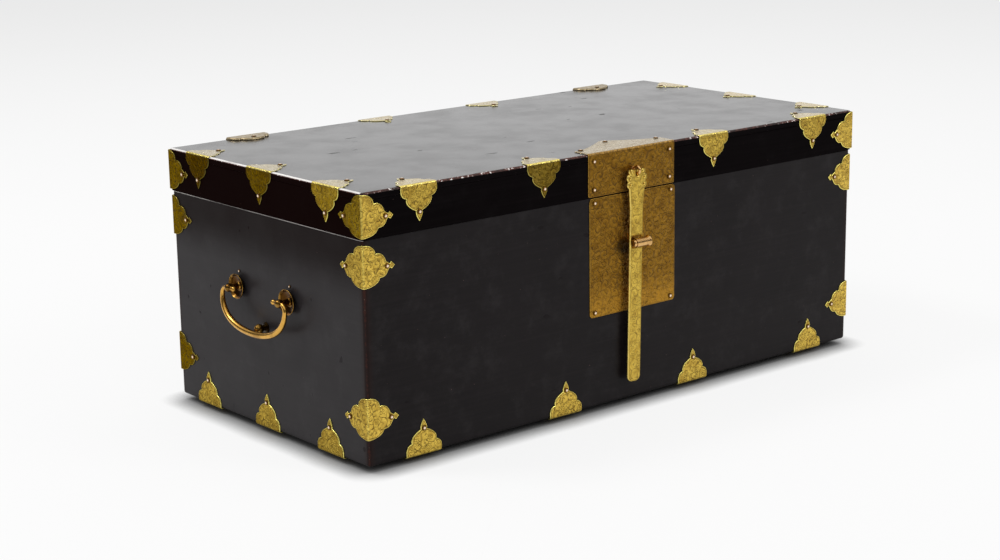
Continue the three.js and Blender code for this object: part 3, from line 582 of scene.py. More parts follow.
def make(name, shells, materials, body, slot, *replaced):
    """One Blender object from closed surfaces, with smooth normals and the values of its points."""
    if not isinstance(shells, (list, tuple)):
        shells = [shells]
    offsets = np.cumsum([0] + [len(shell.points) for shell in shells])
    blocks = [(corners + offset, finish) for shell, offset in zip(shells, offsets)
              for corners, finish in shell.faces]
    corners = np.concatenate([block.ravel() for block, _ in blocks]).astype(np.int32)
    sizes = np.concatenate([np.full(len(block), block.shape[1]) for block, _ in blocks])
    finish = np.concatenate([np.full(len(block), number) for block, number in blocks]).astype(np.int32)
    points = np.concatenate([shell.points for shell in shells])
    normals = np.concatenate([shell.normals for shell in shells])

    mesh = bpy.data.meshes.new(name)
    mesh.vertices.add(len(points))
    mesh.vertices.foreach_set("co", points.astype(np.float32).ravel())
    mesh.loops.add(len(corners))
    mesh.loops.foreach_set("vertex_index", corners)
    mesh.polygons.add(len(sizes))
    mesh.polygons.foreach_set("loop_start", (np.cumsum(sizes) - sizes).astype(np.int32))
    mesh.polygons.foreach_set("material_index", finish)
    mesh.polygons.foreach_set("use_smooth", np.ones(len(sizes), bool))
    mesh.update(calc_edges=True)
    if mesh.validate():
        raise RuntimeError(f"{name} has faces that Blender had to mend")
    for key in sorted({key for shell in shells for key in shell.values}):
        width = next(shell.values[key].ndim for shell in shells if key in shell.values)
        shape = (3,) if width == 2 else ()
        parts = [shell.values.get(key, np.zeros((len(shell.points), *shape))) for shell in shells]
        data = np.concatenate(parts)
        attribute = mesh.attributes.new(key, "FLOAT_VECTOR" if width == 2 else "FLOAT", "POINT")
        attribute.data.foreach_set("vector" if width == 2 else "value", data.astype(np.float32).ravel())
    lengths = np.linalg.norm(normals, axis=1)
    mesh.normals_split_custom_set_from_vertices(normals / np.maximum(lengths, 1e-9)[:, None])
    for material in materials:
        mesh.materials.append(material)
    piece = bpy.data.objects.new(name, mesh)
    bpy.context.scene.collection.objects.link(piece)
    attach(piece, body)
    if replaced:
        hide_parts(*replaced)
    return piece


# Finishes


class Nodes:
    """Short calls that add nodes to an emptied node tree."""

    def __init__(self, tree):
        self.tree = tree
        self.tree.nodes.clear()

    def add(self, kind, **settings):
        node = self.tree.nodes.new(kind)
        for key, value in settings.items():
            setattr(node, key, value)
        return node

    def feed(self, socket, value):
        if isinstance(value, bpy.types.NodeSocket):
            self.tree.links.new(value, socket)
        else:
            socket.default_value = value

    def fill(self, node, **sockets):
        for name, value in sockets.items():
            self.feed(node.inputs[name], value)
        return node

    def math(self, operation, *values, clamp=False):
        node = self.add("ShaderNodeMath", operation=operation, use_clamp=clamp)
        for socket, value in zip(node.inputs, values):
            self.feed(socket, value)
        return node.outputs[0]

    def times(self, first, second):
        return self.math("MULTIPLY", first, second)

    def plus(self, first, second, clamp=False):
        return self.math("ADD", first, second, clamp=clamp)

    def minus(self, first, second):
        return self.math("SUBTRACT", first, second)

    def most(self, first, second):
        return self.math("MAXIMUM", first, second)

    def vector(self, operation, *values, scale=None):
        node = self.add("ShaderNodeVectorMath", operation=operation)
        for socket, value in zip(node.inputs, values):
            self.feed(socket, value)
        if scale is not None:
            self.feed(node.inputs["Scale"], scale)
        return node.outputs["Value"] if operation == "LENGTH" else node.outputs["Vector"]

    def split(self, vector):
        node = self.add("ShaderNodeSeparateXYZ")
        self.feed(node.inputs[0], vector)
        return node.outputs

    def value(self, name):
        return self.add("ShaderNodeAttribute", attribute_name=name).outputs["Fac"]

    def place(self, name=None):
        if name:
            return self.add("ShaderNodeAttribute", attribute_name=name).outputs["Vector"]
        return self.add("ShaderNodeTexCoord").outputs["Object"]

    def noise(self, place, scale, detail=3.0, roughness=0.55, distortion=0.0):
        node = self.add("ShaderNodeTexNoise")
        sockets = {"Vector": place, "Scale": scale, "Detail": detail, "Roughness": roughness}
        return self.fill(node, Distortion=distortion, **sockets).outputs[0]

    def stretched(self, place, x, y, z, turn=0.0):
        node = self.add("ShaderNodeMapping")
        self.feed(node.inputs["Vector"], place)
        node.inputs["Rotation"].default_value = (0, 0, turn)
        node.inputs["Scale"].default_value = (x, y, z)
        return node.outputs[0]

    def rise(self, value, low, high, start=0.0, end=1.0):
        node = self.add("ShaderNodeMapRange", interpolation_type="SMOOTHSTEP")
        for socket, number in zip(node.inputs, (value, low, high, start, end)):
            self.feed(socket, number)
        return node.outputs[0]

    def mix(self, share, first, second):
        node = self.add("ShaderNodeMix", data_type="RGBA")
        self.feed(node.inputs[0], share)
        for socket, colour in ((node.inputs[6], first), (node.inputs[7], second)):
            self.feed(socket, colour if isinstance(colour, bpy.types.NodeSocket) else (*colour, 1))
        return node.outputs[2]


class Finish(Nodes):
    """One procedural material with its shader and output."""

    def __init__(self, name):
        self.material = bpy.data.materials.new(name)
        self.material.use_nodes = True
        super().__init__(self.material.node_tree)
        self.shader = self.add("ShaderNodeBsdfPrincipled")
        self.output = self.add("ShaderNodeOutputMaterial")
        self.tree.links.new(self.shader.outputs[0], self.output.inputs["Surface"])

    def set(self, name, value):
        self.feed(self.shader.inputs[name], value)

    def bump(self, height, distance, strength=1.0):
        node = self.fill(self.add("ShaderNodeBump"), Height=height, Distance=distance, Strength=strength)
        self.set("Normal", node.outputs[0])


def once(name, recipe, *colours, **settings):
    """The material of that name, made on its first use."""
    return bpy.data.materials.get(name) or recipe(Finish(name), *colours, **settings).material


def margins(f):
    """A point's place in its block, the block's half sizes, and the gaps to its sides."""
    block, half = f.place("place"), f.place("half")
    return block, half, f.split(f.vector("SUBTRACT", half, f.vector("ABSOLUTE", block)))


def lacquer(f, boards, level, grain, rubbed, gloss, dust_and_sheen, top=False):
    """Satin lacquer. The distance to an edge is the larger one of the distances to the faces
    that meet there; near 0 the lacquer is rubbed to red brown, broken up by noise, with pale
    specks painted as glints. Grain is noise drawn out along the board, dents are rare short
    dips. The ends carry a pale painted sheen towards their bottom and painted shade towards
    their top. Sides have a faint brown band along their edges, and a painted highlight as a
    pale line at the seam on the ends."""
    block, half, margin = margins(f)
    edge = f.most(margin[0], margin[1])
    if top:
        low = f.math("MINIMUM", margin[0], margin[1])
        below = f.minus(f.split(half)[2], f.split(block)[2])
        edge = f.most(low, f.math("MINIMUM", edge, below))
    place = f.place()
    height = f.split(place)[2]
    cloud = f.noise(place, 7.0, 4.0)
    fibre = f.noise(f.stretched(place, *grain), 1.0, 4.0, 0.6)
    chips = f.noise(place, 260.0, 2.0)
    reach = f.rise(cloud, 0.35, 0.7, 0.6 * rubbed, 1.7 * rubbed)
    ragged = f.math("MULTIPLY_ADD", f.minus(chips, 0.5), 1.4 * rubbed, edge)
    wear = f.rise(ragged, f.times(reach, 0.35), reach, 1.0, 0.0)
    spots = f.rise(f.noise(place, 330.0, 2.0), 0.77, 0.8)
    dents = f.rise(f.noise(f.stretched(place, 26, 75, 60, 0.35), 1.0, 1.0, 0.4), 0.76, 0.8)
    dust = f.rise(f.noise(place, 31.0, 5.0, 0.7), 0.45, 0.8)
    end = f.rise(margin[0], 1.0 * MM, 3.0 * MM, 1.0, 0.0)
    # Painted sheen: a pale haze on the ends, stronger towards their bottom.
    lower_end_sheen = f.times(end, f.rise(height, 0.27, 0.2, 0.0, 1.0))
    # Painted shade: the ends darker towards their top, under the lid.
    shade = f.times(end, f.rise(height, 0.2, 0.27, 0.0, 0.8))
    dark = scaled(boards.lacquer, level)
    base = f.mix(f.rise(cloud, 0.3, 0.75), dark, scaled(dark, 1.3))
    base = f.mix(f.rise(fibre, 0.4, 0.75, 0.0, 0.5), base, scaled(dark, 1.9))
    base = f.mix(f.times(dust, dust_and_sheen), base, tone(120, 116, 118))
    base = f.mix(f.times(lower_end_sheen, dust_and_sheen), base, tone(150, 146, 150))
    base = f.mix(shade, base, scaled(boards.worn, 0.12, 0.07, 0.06))
    base = f.mix(f.times(spots, 0.35), base, tone(140, 112, 104))
    if not top:
        base = f.mix(f.rise(edge, 2.0 * MM, 13.0 * MM, 0.7, 0.0), base, scaled(boards.worn, 0.3))
    base = f.mix(f.times(wear, 0.85), base, boards.worn)
    # Painted glints: pale specks on the rubbed edges.
    specks = f.times(wear, f.rise(chips, 0.66, 0.71))
    base = f.mix(specks, base, tone(206, 178, 158))
    if not top:
        # Painted highlight: a pale line on the ends along the case's top edge, under the lid.
        upper = CASE[1][2]
        seam = f.times(end, f.rise(height, upper - 1.0 * MM, upper - 0.6 * MM))
        seam = f.times(seam, f.rise(cloud, 0.35, 0.6, 0.35, 1.0))
        base = f.mix(seam, base, tone(246, 240, 236))
    f.set("Base Color", base)
    rough = f.rise(f.noise(place, 18.0, 4.0), 0.3, 0.75, gloss - 0.03, gloss + 0.06)
    rough = f.plus(rough, f.times(wear, 0.2))
    rough = f.math("MULTIPLY_ADD", shade, 0.3, rough)
    f.set("Roughness", f.plus(rough, f.times(dents, 0.3), clamp=True))
    f.set("IOR", 1.45)
    wave = f.math("MULTIPLY_ADD", fibre, 0.05, f.noise(place, 6.0, 1.0))
    wave = f.minus(wave, f.times(dents, 0.6))
    f.bump(f.minus(wave, f.times(wear, 0.12)), 1.0 * MM, 0.14 if top else 0.35)
    return f


def case_lacquer(boards):
    finish = lacquer(Finish("case_lacquer"), boards, level=1.0, grain=(4, 4, 260),
                     rubbed=3.6 * MM, gloss=0.34, dust_and_sheen=0.05)
    finish.set("Specular IOR Level", 0.13)
    return finish.material


def lid_side_lacquer(boards):
    """The lid's sides: the case's lacquer at half its colour, painted shade that makes them darker
    than the case. Made once, for the rails and the top board's edge.
    """
    finish = lacquer(Finish("lid_side_lacquer"), boards, level=0.5, grain=(4, 4, 260),
                     rubbed=2.0 * MM, gloss=0.4, dust_and_sheen=0.01, top=True)
    finish.set("Specular IOR Level", 0.13)
    finish.set("IOR", 1.1)
    return finish.material


def lid_edge_lacquer(boards):
    """The lid's rounded top edge: rubbed to red brown along the front and the back, with pale
    specks painted as glints, and polished along the ends, where a pale line is a painted highlight."""
    f = Finish("lid_edge_lacquer")
    margin = margins(f)[2]
    end = f.rise(margin[0], 3.0 * MM, 4.0 * MM, 1.0, 0.0)
    end = f.times(end, f.rise(margin[1], 3.0 * MM, 5.0 * MM))
    place = f.place()
    height = f.split(place)[2]
    cloud, chips = f.noise(place, 24.0, 3.0), f.noise(place, 300.0, 2.0)
    base = f.mix(f.rise(chips, 0.4, 0.6), scaled(boards.worn, 0.8), scaled(boards.worn, 2.6))
    base = f.mix(f.rise(cloud, 0.5, 0.65, 0.0, 0.7), base, boards.lacquer)
    upper = LID[1][2]
    # Painted highlight: a pale line along the ends' top edge; painted glints: pale specks from the chips'
    # noise.
    pale = f.times(end, f.rise(height, upper - 1.5 * MM, upper - 1.0 * MM))
    pale = f.times(pale, f.rise(cloud, 0.3, 0.5, 0.5, 1.0))
    pale = f.most(pale, f.rise(chips, 0.63, 0.67))
    f.set("Base Color", f.mix(pale, base, tone(252, 248, 244)))
    f.set("Roughness", f.rise(end, 0.0, 1.0, 0.5, 0.2))
    f.set("Specular IOR Level", 0.25)
    f.bump(chips, 0.3 * MM, 0.5)
    return f.material


def lid_top_lacquer(boards):
    finish = lacquer(Finish("lid_top_lacquer"), boards, level=1.0, grain=(5, 150, 5),
                     rubbed=2.0 * MM, gloss=0.2, dust_and_sheen=0.06, top=True)
    finish.set("Specular IOR Level", 0.8)
    return finish.material


def bare_wood(f, colour):
    """Aged bare wood: rings are a wave along the board bent by noise, fibres are noise drawn
    out along it, and dark stains are large soft noise."""
    place = f.place()
    rings = f.noise(f.stretched(place, 2.2, 26, 26), 1.0, 4.0, 0.6, 0.8)
    fibre = f.noise(f.stretched(place, 9, 700, 700), 1.0, 3.0, 0.7)
    stain = f.noise(place, 5.0, 4.0)
    base = f.mix(f.rise(rings, 0.3, 0.7), scaled(colour, 0.55), colour)
    base = f.mix(f.rise(fibre, 0.35, 0.75, 0.0, 0.6), base, scaled(colour, 0.4))
    base = f.mix(f.rise(stain, 0.5, 0.75, 0.0, 0.6), base, scaled(colour, 0.35))
    f.set("Base Color", base)
    f.set("Roughness", f.rise(fibre, 0.2, 0.8, 0.55, 0.8))
    f.bump(f.plus(fibre, f.times(rings, 0.6)), 0.5 * MM, 0.6)
    return f


def engraving(f, leaf, cell):
    """A line mask of scrolls and blossoms. Flat places fall into cells round scattered middles;
    in a cell the mask is either a spiral, where angle plus radius times a pitch comes round
    again, or a ring of five petals, where the radius swings with five times the angle. The
    place is first shifted by noise, so that no two scrolls are alike. Returns the mask, and
    the swing of the spiral as a soft relief."""
    ripple = f.fill(f.add("ShaderNodeTexNoise"), Vector=leaf, Scale=0.2)
    leaf = f.vector("MULTIPLY_ADD", ripple.outputs["Color"], (5.0, 5.0, 0.0), leaf)
    place = f.vector("SCALE", leaf, scale=1 / cell)
    cells, edges = (
        f.fill(f.add("ShaderNodeTexVoronoi", voronoi_dimensions="2D", feature=feature),
               Vector=place, Scale=1.0, Randomness=0.75)
        for feature in ("F1", "DISTANCE_TO_EDGE"))
    offset = f.vector("SUBTRACT", place, cells.outputs["Position"])
    x, y, _ = f.split(offset)
    radius = f.vector("LENGTH", offset)
    angle = f.math("ARCTAN2", y, x)
    pick = f.split(cells.outputs["Color"])
    phase = f.times(pick[1], 6.283)
    hand = f.minus(f.times(f.math("GREATER_THAN", pick[2], 0.5), 2.0), 1.0)
    pitch = f.plus(f.times(radius, 11.0), phase)
    turning = f.plus(f.times(angle, hand), pitch)
    wave = f.math("SINE", turning)
    curl = f.rise(wave, 0.66, 0.88)
    swing = f.math("COSINE", f.plus(f.times(angle, 5.0), phase))
    petal = f.math("ABSOLUTE", f.minus(radius, f.math("MULTIPLY_ADD", swing, 0.085, 0.3)))
    outline = f.rise(petal, 0.02, 0.045, 1.0, 0.0)
    heart = f.rise(radius, 0.06, 0.1, 1.0, 0.0)
    veins = f.rise(f.times(swing, -1.0), 0.9, 0.98)
    veins = f.times(veins, f.rise(radius, 0.3, 0.34, 1.0, 0.0))
    blossom = f.most(outline, f.most(heart, veins))
    chosen = f.math("GREATER_THAN", pick[0], 0.42)
    blossom = f.times(blossom, f.minus(1.0, chosen))
    scroll = f.plus(f.times(curl, chosen), blossom)
    stems = f.rise(edges.outputs["Distance"], 0.012, 0.035, 1.0, 0.0)
    return f.most(scroll, stems), wave


def engraved_brass(f, ground, line, cell, depth, gloss, tarnish, strength, stain=None):
    """Engraved sheet brass. The mask of scrolls colours the lines, a plain band follows the
    border with one engraved line beside it, and tarnish gathers in soft patches. A pale line
    along the border and one along the bend are painted highlights. The value
    age darkens a leaf with painted shade and tarnish and yellows its reflections,
    the value wing paints a pale grey reflection where it lies on the lid's top, and a
    stain given as (place, half sizes) darkens the sheet round a spot with a painted
    shadow and lightens it towards the bottom with painted light."""
    leaf, rim = f.place("leaf"), f.value("rim")
    age, wing = f.value("age"), f.value("wing")
    field = f.rise(rim, 1.9, 2.3)
    scrolls, wave = engraving(f, leaf, cell)
    fade = f.rise(f.noise(leaf, 0.13, 2.0), 0.35, 0.6, 0.35, 1.0)
    mask = f.times(f.times(scrolls, field), fade)
    border = f.rise(f.math("ABSOLUTE", f.minus(rim, 1.6)), 0.15, 0.35, 1.0, 0.0)
    mask = f.most(mask, border)
    patch = f.noise(leaf, 0.06, 4.0, 0.65)
    cloud = f.noise(leaf, 0.16, 3.0, 0.6, 0.6)
    fine = f.noise(leaf, 0.7, 3.0, 0.6)
    brown = scaled(ground, 0.42, 0.32, 0.2)
    base = f.mix(f.rise(patch, 0.42, 0.7, 0.0, tarnish), ground, brown)
    base = f.mix(f.rise(cloud, 0.5, 0.7, 0.0, 0.5), base, scaled(ground, 0.6, 0.5, 0.32))
    base = f.mix(f.times(f.rise(fine, 0.42, 0.7), 0.4), base, scaled(ground, 0.5))
    base = f.mix(f.times(mask, strength), base, line)
    # Painted shade and tarnish: the leaf darkened by its age value.
    base = f.mix(age, base, f.vector("MULTIPLY", base, (0.03, 0.018, 0.004)))
    # Painted highlight: a pale line along the border, dimmed on leaves in painted shade.
    shade = f.rise(rim, 0.5, 1.0, 0.8, 0.0)
    shade = f.times(shade, f.rise(age, 0.4, 0.95, 1.0, 0.1))
    base = f.mix(shade, base, scaled(ground, 1.35, 1.5, 2.4))
    if stain:
        # Painted shadow: the sheet darkened round the spot beside the lock's pin.
        offset = f.vector("DIVIDE", f.vector("SUBTRACT", f.place(), stain[0]), stain[1])
        reach = f.plus(f.vector("LENGTH", offset), f.minus(fine, 0.5))
        base = f.mix(f.rise(reach, 0.5, 1.2, 0.85, 0.0), base, tone(34, 22, 8))
        # Painted light: the plate paler towards its bottom, in patches.
        low = f.split(f.place())[2]
        glow = f.times(f.rise(low, 0.18, 0.13, 0.0, 0.8), f.rise(patch, 0.3, 0.6))
        base = f.mix(glow, base, scaled(ground, 1.7))
    # Painted reflection: pale grey where the sheet lies on the lid's top.
    pale = f.times(wing, f.rise(cloud, 0.3, 0.6, 0.8, 0.5))
    base = f.mix(pale, base, tone(206, 196, 168))
    # Painted highlight: a pale line along the bend, strongest where the sheet turns onto the lid's top.
    ridge = f.rise(f.value("bend"), 0.45, 0.95)
    ridge = f.times(ridge, f.rise(wing, 0.0, 0.3, 0.3, 0.75))
    base = f.mix(ridge, base, scaled(ground, 1.3, 1.35, 1.9))
    f.set("Base Color", base)
    # Reflections yellowed where painted shade and tarnish darken the leaf, and white on the lid's top.
    tint = f.mix(f.rise(age, 0.1, 0.7), (1.0, 0.96, 0.85), (1.0, 0.75, 0.2))
    f.set("Specular Tint", f.mix(f.rise(wing, 0.0, 0.5), tint, (1.0, 1.0, 1.0)))
    f.set("Metallic", f.rise(mask, 0.0, 1.0, 1.0, 0.85))
    rough = f.rise(patch, 0.3, 0.75, gloss, gloss + 0.14)
    rough = f.math("MULTIPLY_ADD", mask, 0.14, rough)
    rough = f.minus(rough, f.times(wing, 0.1))
    f.set("Roughness", f.most(rough, 0.14))
    relief = f.times(f.times(wave, field), 0.5)
    height = f.math("MULTIPLY_ADD", fine, 0.25, f.minus(relief, mask))
    f.bump(f.plus(height, f.times(cloud, 3.0)), depth, 0.9)
    return f


def turned_brass(f, colour, gloss, soiled=0.85, hollow=0.0):
    """Handled brass: bright where hands rub it, almost black brown in soft patches. The share
    hollow darkens a dish between its middle and its rim."""
    place, turn = f.place(), f.value("turn")
    patch = f.noise(place, 60.0, 2.0, 0.5)
    fine = f.noise(place, 420.0, 3.0, 0.6)
    pits = f.rise(f.noise(place, 900.0, 2.0), 0.68, 0.76)
    dish = f.times(f.rise(turn, 0.3, 0.4), f.rise(turn, 0.84, 0.92, hollow, 0.0))
    dull = f.most(f.rise(patch, 0.42, 0.66, 0.0, soiled), dish)
    base = f.mix(dull, colour, scaled(colour, 0.16, 0.1, 0.05))
    base = f.mix(f.rise(fine, 0.45, 0.75, 0.0, 0.2), base, scaled(colour, 0.4))
    base = f.mix(f.times(pits, 0.4), base, scaled(colour, 0.15))
    f.set("Base Color", base)
    f.set("Metallic", f.rise(pits, 0.0, 1.0, 1.0, 0.8))
    f.set("Roughness", f.rise(patch, 0.3, 0.7, gloss, gloss + 0.1))
    f.bump(f.math("MULTIPLY_ADD", fine, 0.1, patch), 0.3 * MM, 0.12)
    return f


def nail_brass(f, colour):
    """A nail head, by the share of its widest radius: a near white crown, a painted highlight
    on rubbed brass, brown towards its skirt, and the skirt's rim almost black, painted shade
    over patina."""
    turn, place = f.value("turn"), f.place()
    fine = f.noise(place, 700.0, 3.0)
    swung = f.plus(turn, f.times(f.minus(fine, 0.5), 0.22))
    skirt = scaled(colour, 0.2, 0.13, 0.08)
    base = f.mix(f.rise(swung, 0.34, 0.56), tone(250, 226, 200), skirt)
    base = f.mix(f.rise(swung, 0.84, 0.98, 0.0, 0.9), base, tone(30, 17, 8))
    f.set("Base Color", base)
    f.set("Metallic", 1.0)
    f.set("Roughness", f.rise(swung, 0.3, 1.0, 0.24, 0.5))
    f.bump(fine, 0.2 * MM, 0.4)
    return f


def mount_brass(mounts):
    return once("mount_brass", engraved_brass, mounts.brass, mounts.groove, cell=10.5,
                depth=0.3 * MM, gloss=0.24, tarnish=0.5, strength=0.75)


def plate_brass(lock):
    # Painted shadow round a spot beside the lock's pin, with painted light lower on the plate.
    stain = ((-0.014, CASE[0][1], 0.2155), (0.017, 0.05, 0.012))
    return once("plate_brass", engraved_brass, lock.plate, lock.line, cell=13.5,
                depth=0.4 * MM, gloss=0.3, tarnish=0.5, strength=0.62, stain=stain)


def nails(mounts):
    return once("nail_brass", nail_brass, mounts.brass)


# Mounts

MOUNT_GRID = 0.85 * MM
PLATE_GRID = 1.3 * MM
HINGE_GRID = 1.2 * MM
HINGE_NOTCH = 5.0 * MM
HINGE_INSET = 9 * MM
HINGE_SHEET = 1.5 * MM
HINGE_NAIL = 1.7 * MM
STRIKER_BALL = 6.4 * MM
STRIKER_DROP = 44 * MM
POST_GAP = 56.25 * MM
ROSETTE_NAIL = 18.8 * MM
# Painted shade and tarnish for each mount, as shares of darkening: most on the left end and the back, which
# stand in shade.
MOUNT_SHADE_AND_TARNISH = {"lid front": [0.28, 0.755, 0.28, 0.28], "lid left": [0.63, 0.89, 0.97],
              "lid back": [0.46] * 2, "base front": [0.09] * 4, "base left": [0.4] * 3}
EDGE_LEAF = [[1.06, 0.16, 1, 0.33, 0.7, 0.355], [0.8, 0.52, 0.45, 0.64, 0.17, 0.71],
             [0.23, 0.8, 0.1, 0.9, 0, 1]]
CORNER_TOP = [[0.2, 0, 0.36, 0.06, 0.385, 0.23], [0.58, 0.19, 0.69, 0.33, 0.715, 0.43],
              [0.76, 0.45, 0.8, 0.49, 0.84, 0.5]]
CORNER_TIP = [[0.885, 0.46], [1, 0.55], [0.9, 0.64], [0.84, 0.6]]
CORNER_BOTTOM = [[0.76, 0.62, 0.77, 0.82, 0.51, 0.8], [0.47, 0.93, 0.25, 1, 0, 1]]
LOCK_WING = [[0.8, 0.4, 0.45, 0.62, 0, 1]]
HINGE_WING = [[0.95, 0.62, 0.72, 0.75, 0.62, 0.62], [0.5, 0.98, 0.2, 1, 0, 1]]
HINGE_LEAF = [[0.98, 0.92, 0.66, 0.94, 0.56, 0.8], [0.45, 0.96, 0.2, 1, 0, 1]]


def lines(low, high, step):
    """Evenly spread numbers from low to high, no further apart than step."""
    return np.linspace(low, high, max(int(math.ceil((high - low) / step)), 1) + 1)


def spare_lines(low, high, step):
    """Evenly spread numbers that begin and end a little outside an outline."""
    return lines(low - SPARE, high + SPARE, step)


def fold_lines(fold, over, down, step):
    """Grid lines along a bent sheet: even ones on both faces and six across the bend."""
    return np.unique(np.concatenate([
        lines(-fold.arc - over, -fold.arc, step), np.linspace(-fold.arc, 0, 7), lines(0, down, step)]))


def half_outline(rows, half, reach, start, sign):
    """The curve of half a leaf from its root to its tip, as (across, down) places."""
    shares = bezier(rows, start)
    return np.stack([shares[:, 0] * half, sign * shares[:, 1] * reach], -1)


def mirrored(points):
    """A half outline and its mirror image, as one closed ring of corners."""
    other = points[::-1] * (-1, 1)
    ring = np.concatenate([points, other])
    return ring[np.linalg.norm(ring - np.roll(ring, 1, 0), axis=1) > 1e-7]


def mount(node, body, fold, sheet, places, settings):
    """A sheet with its nails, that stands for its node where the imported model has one."""
    shells = [sheet] + nail_heads(fold, places, settings.sheet, settings)
    finishes = [mount_brass(settings), nails(settings)]
    replaced = (node,) if node in frame["nodes"] else ()
    make(f"{node}_engraved", shells, finishes, body, "bright_brass", *replaced)


def edge_mount(node, body, side, over, along, edge, wing, nail_rows, seed, age, settings):
    """A mount over an edge: the same leaf outline hangs down the face and runs over the edge."""
    face = SIDES[side]
    origin = face * np.abs(edge) + np.abs(np.cross(UP, face)) * along
    fold = Fold((origin[0], origin[1], edge[2]), np.cross(UP, face), face, over)
    half, drop = settings.edge_width / 2, settings.edge_drop
    leaf = half_outline(EDGE_LEAF, half, drop, (1, 0), 1) - (0, fold.bend)
    flap = half_outline(EDGE_LEAF, half, wing, (1, 0), -1) - (0, fold.arc - fold.bend)
    field = polygon_field(mirrored(np.concatenate([flap[::-1], leaf])))
    sheet = cut_sheet(fold, field, lines(-1.02 * half, 1.02 * half, MOUNT_GRID),
                      fold_lines(fold, wing, drop, MOUNT_GRID), settings.sheet, seed=seed,
                      age=(age, 0.6 * age), wing=float(over[2] > 0))
    places = [(0, row - fold.bend if row > 0 else row - fold.arc + fold.bend) for row in nail_rows]
    mount(node, body, fold, sheet, places, settings)


def corner_mount(node, body, faces, corner, seed, age, settings):
    """A mount round an upright edge: one outline on each face, mirrored at the edge."""
    fold = Fold(corner, -UP, SIDES[faces[0]], SIDES[faces[1]])
    tall, reach, spare = settings.corner_height, settings.corner_reach, 0.4 * MM
    top = bezier(CORNER_TOP, (0, 0))
    bottom = bezier(CORNER_BOTTOM, CORNER_TIP[-1])
    shares = np.concatenate([top, CORNER_TIP[:-1], bottom])
    first = np.stack([shares[:, 1] * tall, shares[:, 0] * reach - fold.bend], -1)
    second = np.stack([first[:, 0], -fold.arc - first[:, 1]], -1)[::-1]
    field = polygon_field(np.concatenate([first, second]))
    sheet = cut_sheet(fold, field, lines(-spare, tall + spare, MOUNT_GRID),
                      fold_lines(fold, reach, reach, MOUNT_GRID), settings.sheet, seed=seed, age=age)
    down, out = 28.6 * MM, 33.5 * MM
    places = ((down, out - fold.bend), (down, -fold.arc - out + fold.bend))
    mount(node, body, fold, sheet, places, settings)


# Operators


class TRUNK_OT_case(bpy.types.Operator):
    """Build the case's walls, its bottom and the battens below it"""

    bl_idname = "trunk.case"
    bl_label = "Case"

    def execute(self, context):
        boards = context.scene.trunk_boards
        wood = once("inside_wood", bare_wood, boards.wood)
        low, high = CASE
        radius = boards.edge_radius
        walls = wall(low, high, radius, boards.case_wall, 1.0 * MM, 4.0 * MM, CASE)
        make("case_walls", walls, [case_lacquer(boards), wood], "case", "lacquer",
             "front_board", "back_board", "left_end_board", "right_end_board")
        stained = once("stained_wood", bare_wood, scaled(boards.wood, 0.2))
        bottom = node_box("bottom_board")
        floor = slab(*bottom, 1.0 * MM, 0.8 * MM, 0.8 * MM)
        make("case_bottom", floor, [wood], "case", "bare_wood", "bottom_board")
        for place in ("front", "back"):
            node = f"base_batten_{place}"
            batten = slab(*node_box(node), 2.0 * MM, 0.6 * MM, 1.2 * MM)
            make(f"{place}_batten", batten, [stained], "case", "bare_wood", node)
        return {"FINISHED"}


class TRUNK_OT_lid(bpy.types.Operator):
    """Build the lid's frame of rails and its top board"""

    bl_idname = "trunk.lid"
    bl_label = "Lid"

    def execute(self, context):
        boards = context.scene.trunk_boards
        wood = once("inside_wood", bare_wood, boards.wood)
        rails = node_box("lid_front_rail", "lid_back_rail")
        frame_shell = wall(*rails, boards.edge_radius, boards.lid_wall, 0.5 * MM, 1.0 * MM, LID)
        sides = lid_side_lacquer(boards)
        make("lid_frame", frame_shell, [sides, wood], "lid", "lacquer",
             "lid_front_rail", "lid_back_rail", "lid_left_rail", "lid_right_rail")
        top = node_box("lid_top_board")
        board = slab(*top, boards.edge_radius, boards.lid_edge_radius, 0.5 * MM, LID,
                     inner=(1, 0), caps=(2, 0), bow=3)
        finishes = [lid_top_lacquer(boards), sides, wood, lid_edge_lacquer(boards)]
        make("lid_board", board, finishes, "lid", "lacquer", "lid_top_board")
        return {"FINISHED"}


class TRUNK_OT_edge_mounts(bpy.types.Operator):
    """Build the mounts folded over the lid's top edges and the case's bottom edges"""

    bl_idname = "trunk.edge_mounts"
    bl_label = "Edge Mounts"

    def execute(self, context):
        settings = context.scene.trunk_mounts
        middle = (LID[0][1] + LID[1][1]) / 2
        groups = (
            ("lid", "lid", LID, UP, settings.lid_wing, (33, -32), (346, 150), 141, 0, (-97, 97), 0),
            ("base", "case", CASE, -UP, settings.base_wing, (33,), (346, 115), 137, 4.5, (), 40),
        )
        for prefix, body, (low, high), over, wing, nail_rows, (far, near), end, shift, back, seed in groups:
            nail_rows = [row * MM for row in nail_rows]
            ends = [middle + (y + shift) * MM for y in (-end, 0, end)]
            rows = {"front": [x * MM for x in (-far, -near, near, far)], "left": ends, "right": ends,
                    "back": [x * MM for x in back]}
            for side, places in rows.items():
                axis = int(side in ("front", "back"))
                edge = np.zeros(3)
                edge[axis] = (low if side in ("left", "front") else high)[axis]
                edge[2] = (high if prefix == "lid" else low)[2]
                shade_and_tarnish_row = MOUNT_SHADE_AND_TARNISH.get(f"{prefix} {side}", [0.0] * 3)
                for i, along in enumerate(places):
                    edge_mount(f"{prefix}_mount_{side}_{i + 1}", body, side, over, along, edge, wing,
                               nail_rows, seed, shade_and_tarnish_row[i], settings)
                    seed += 1
        return {"FINISHED"}


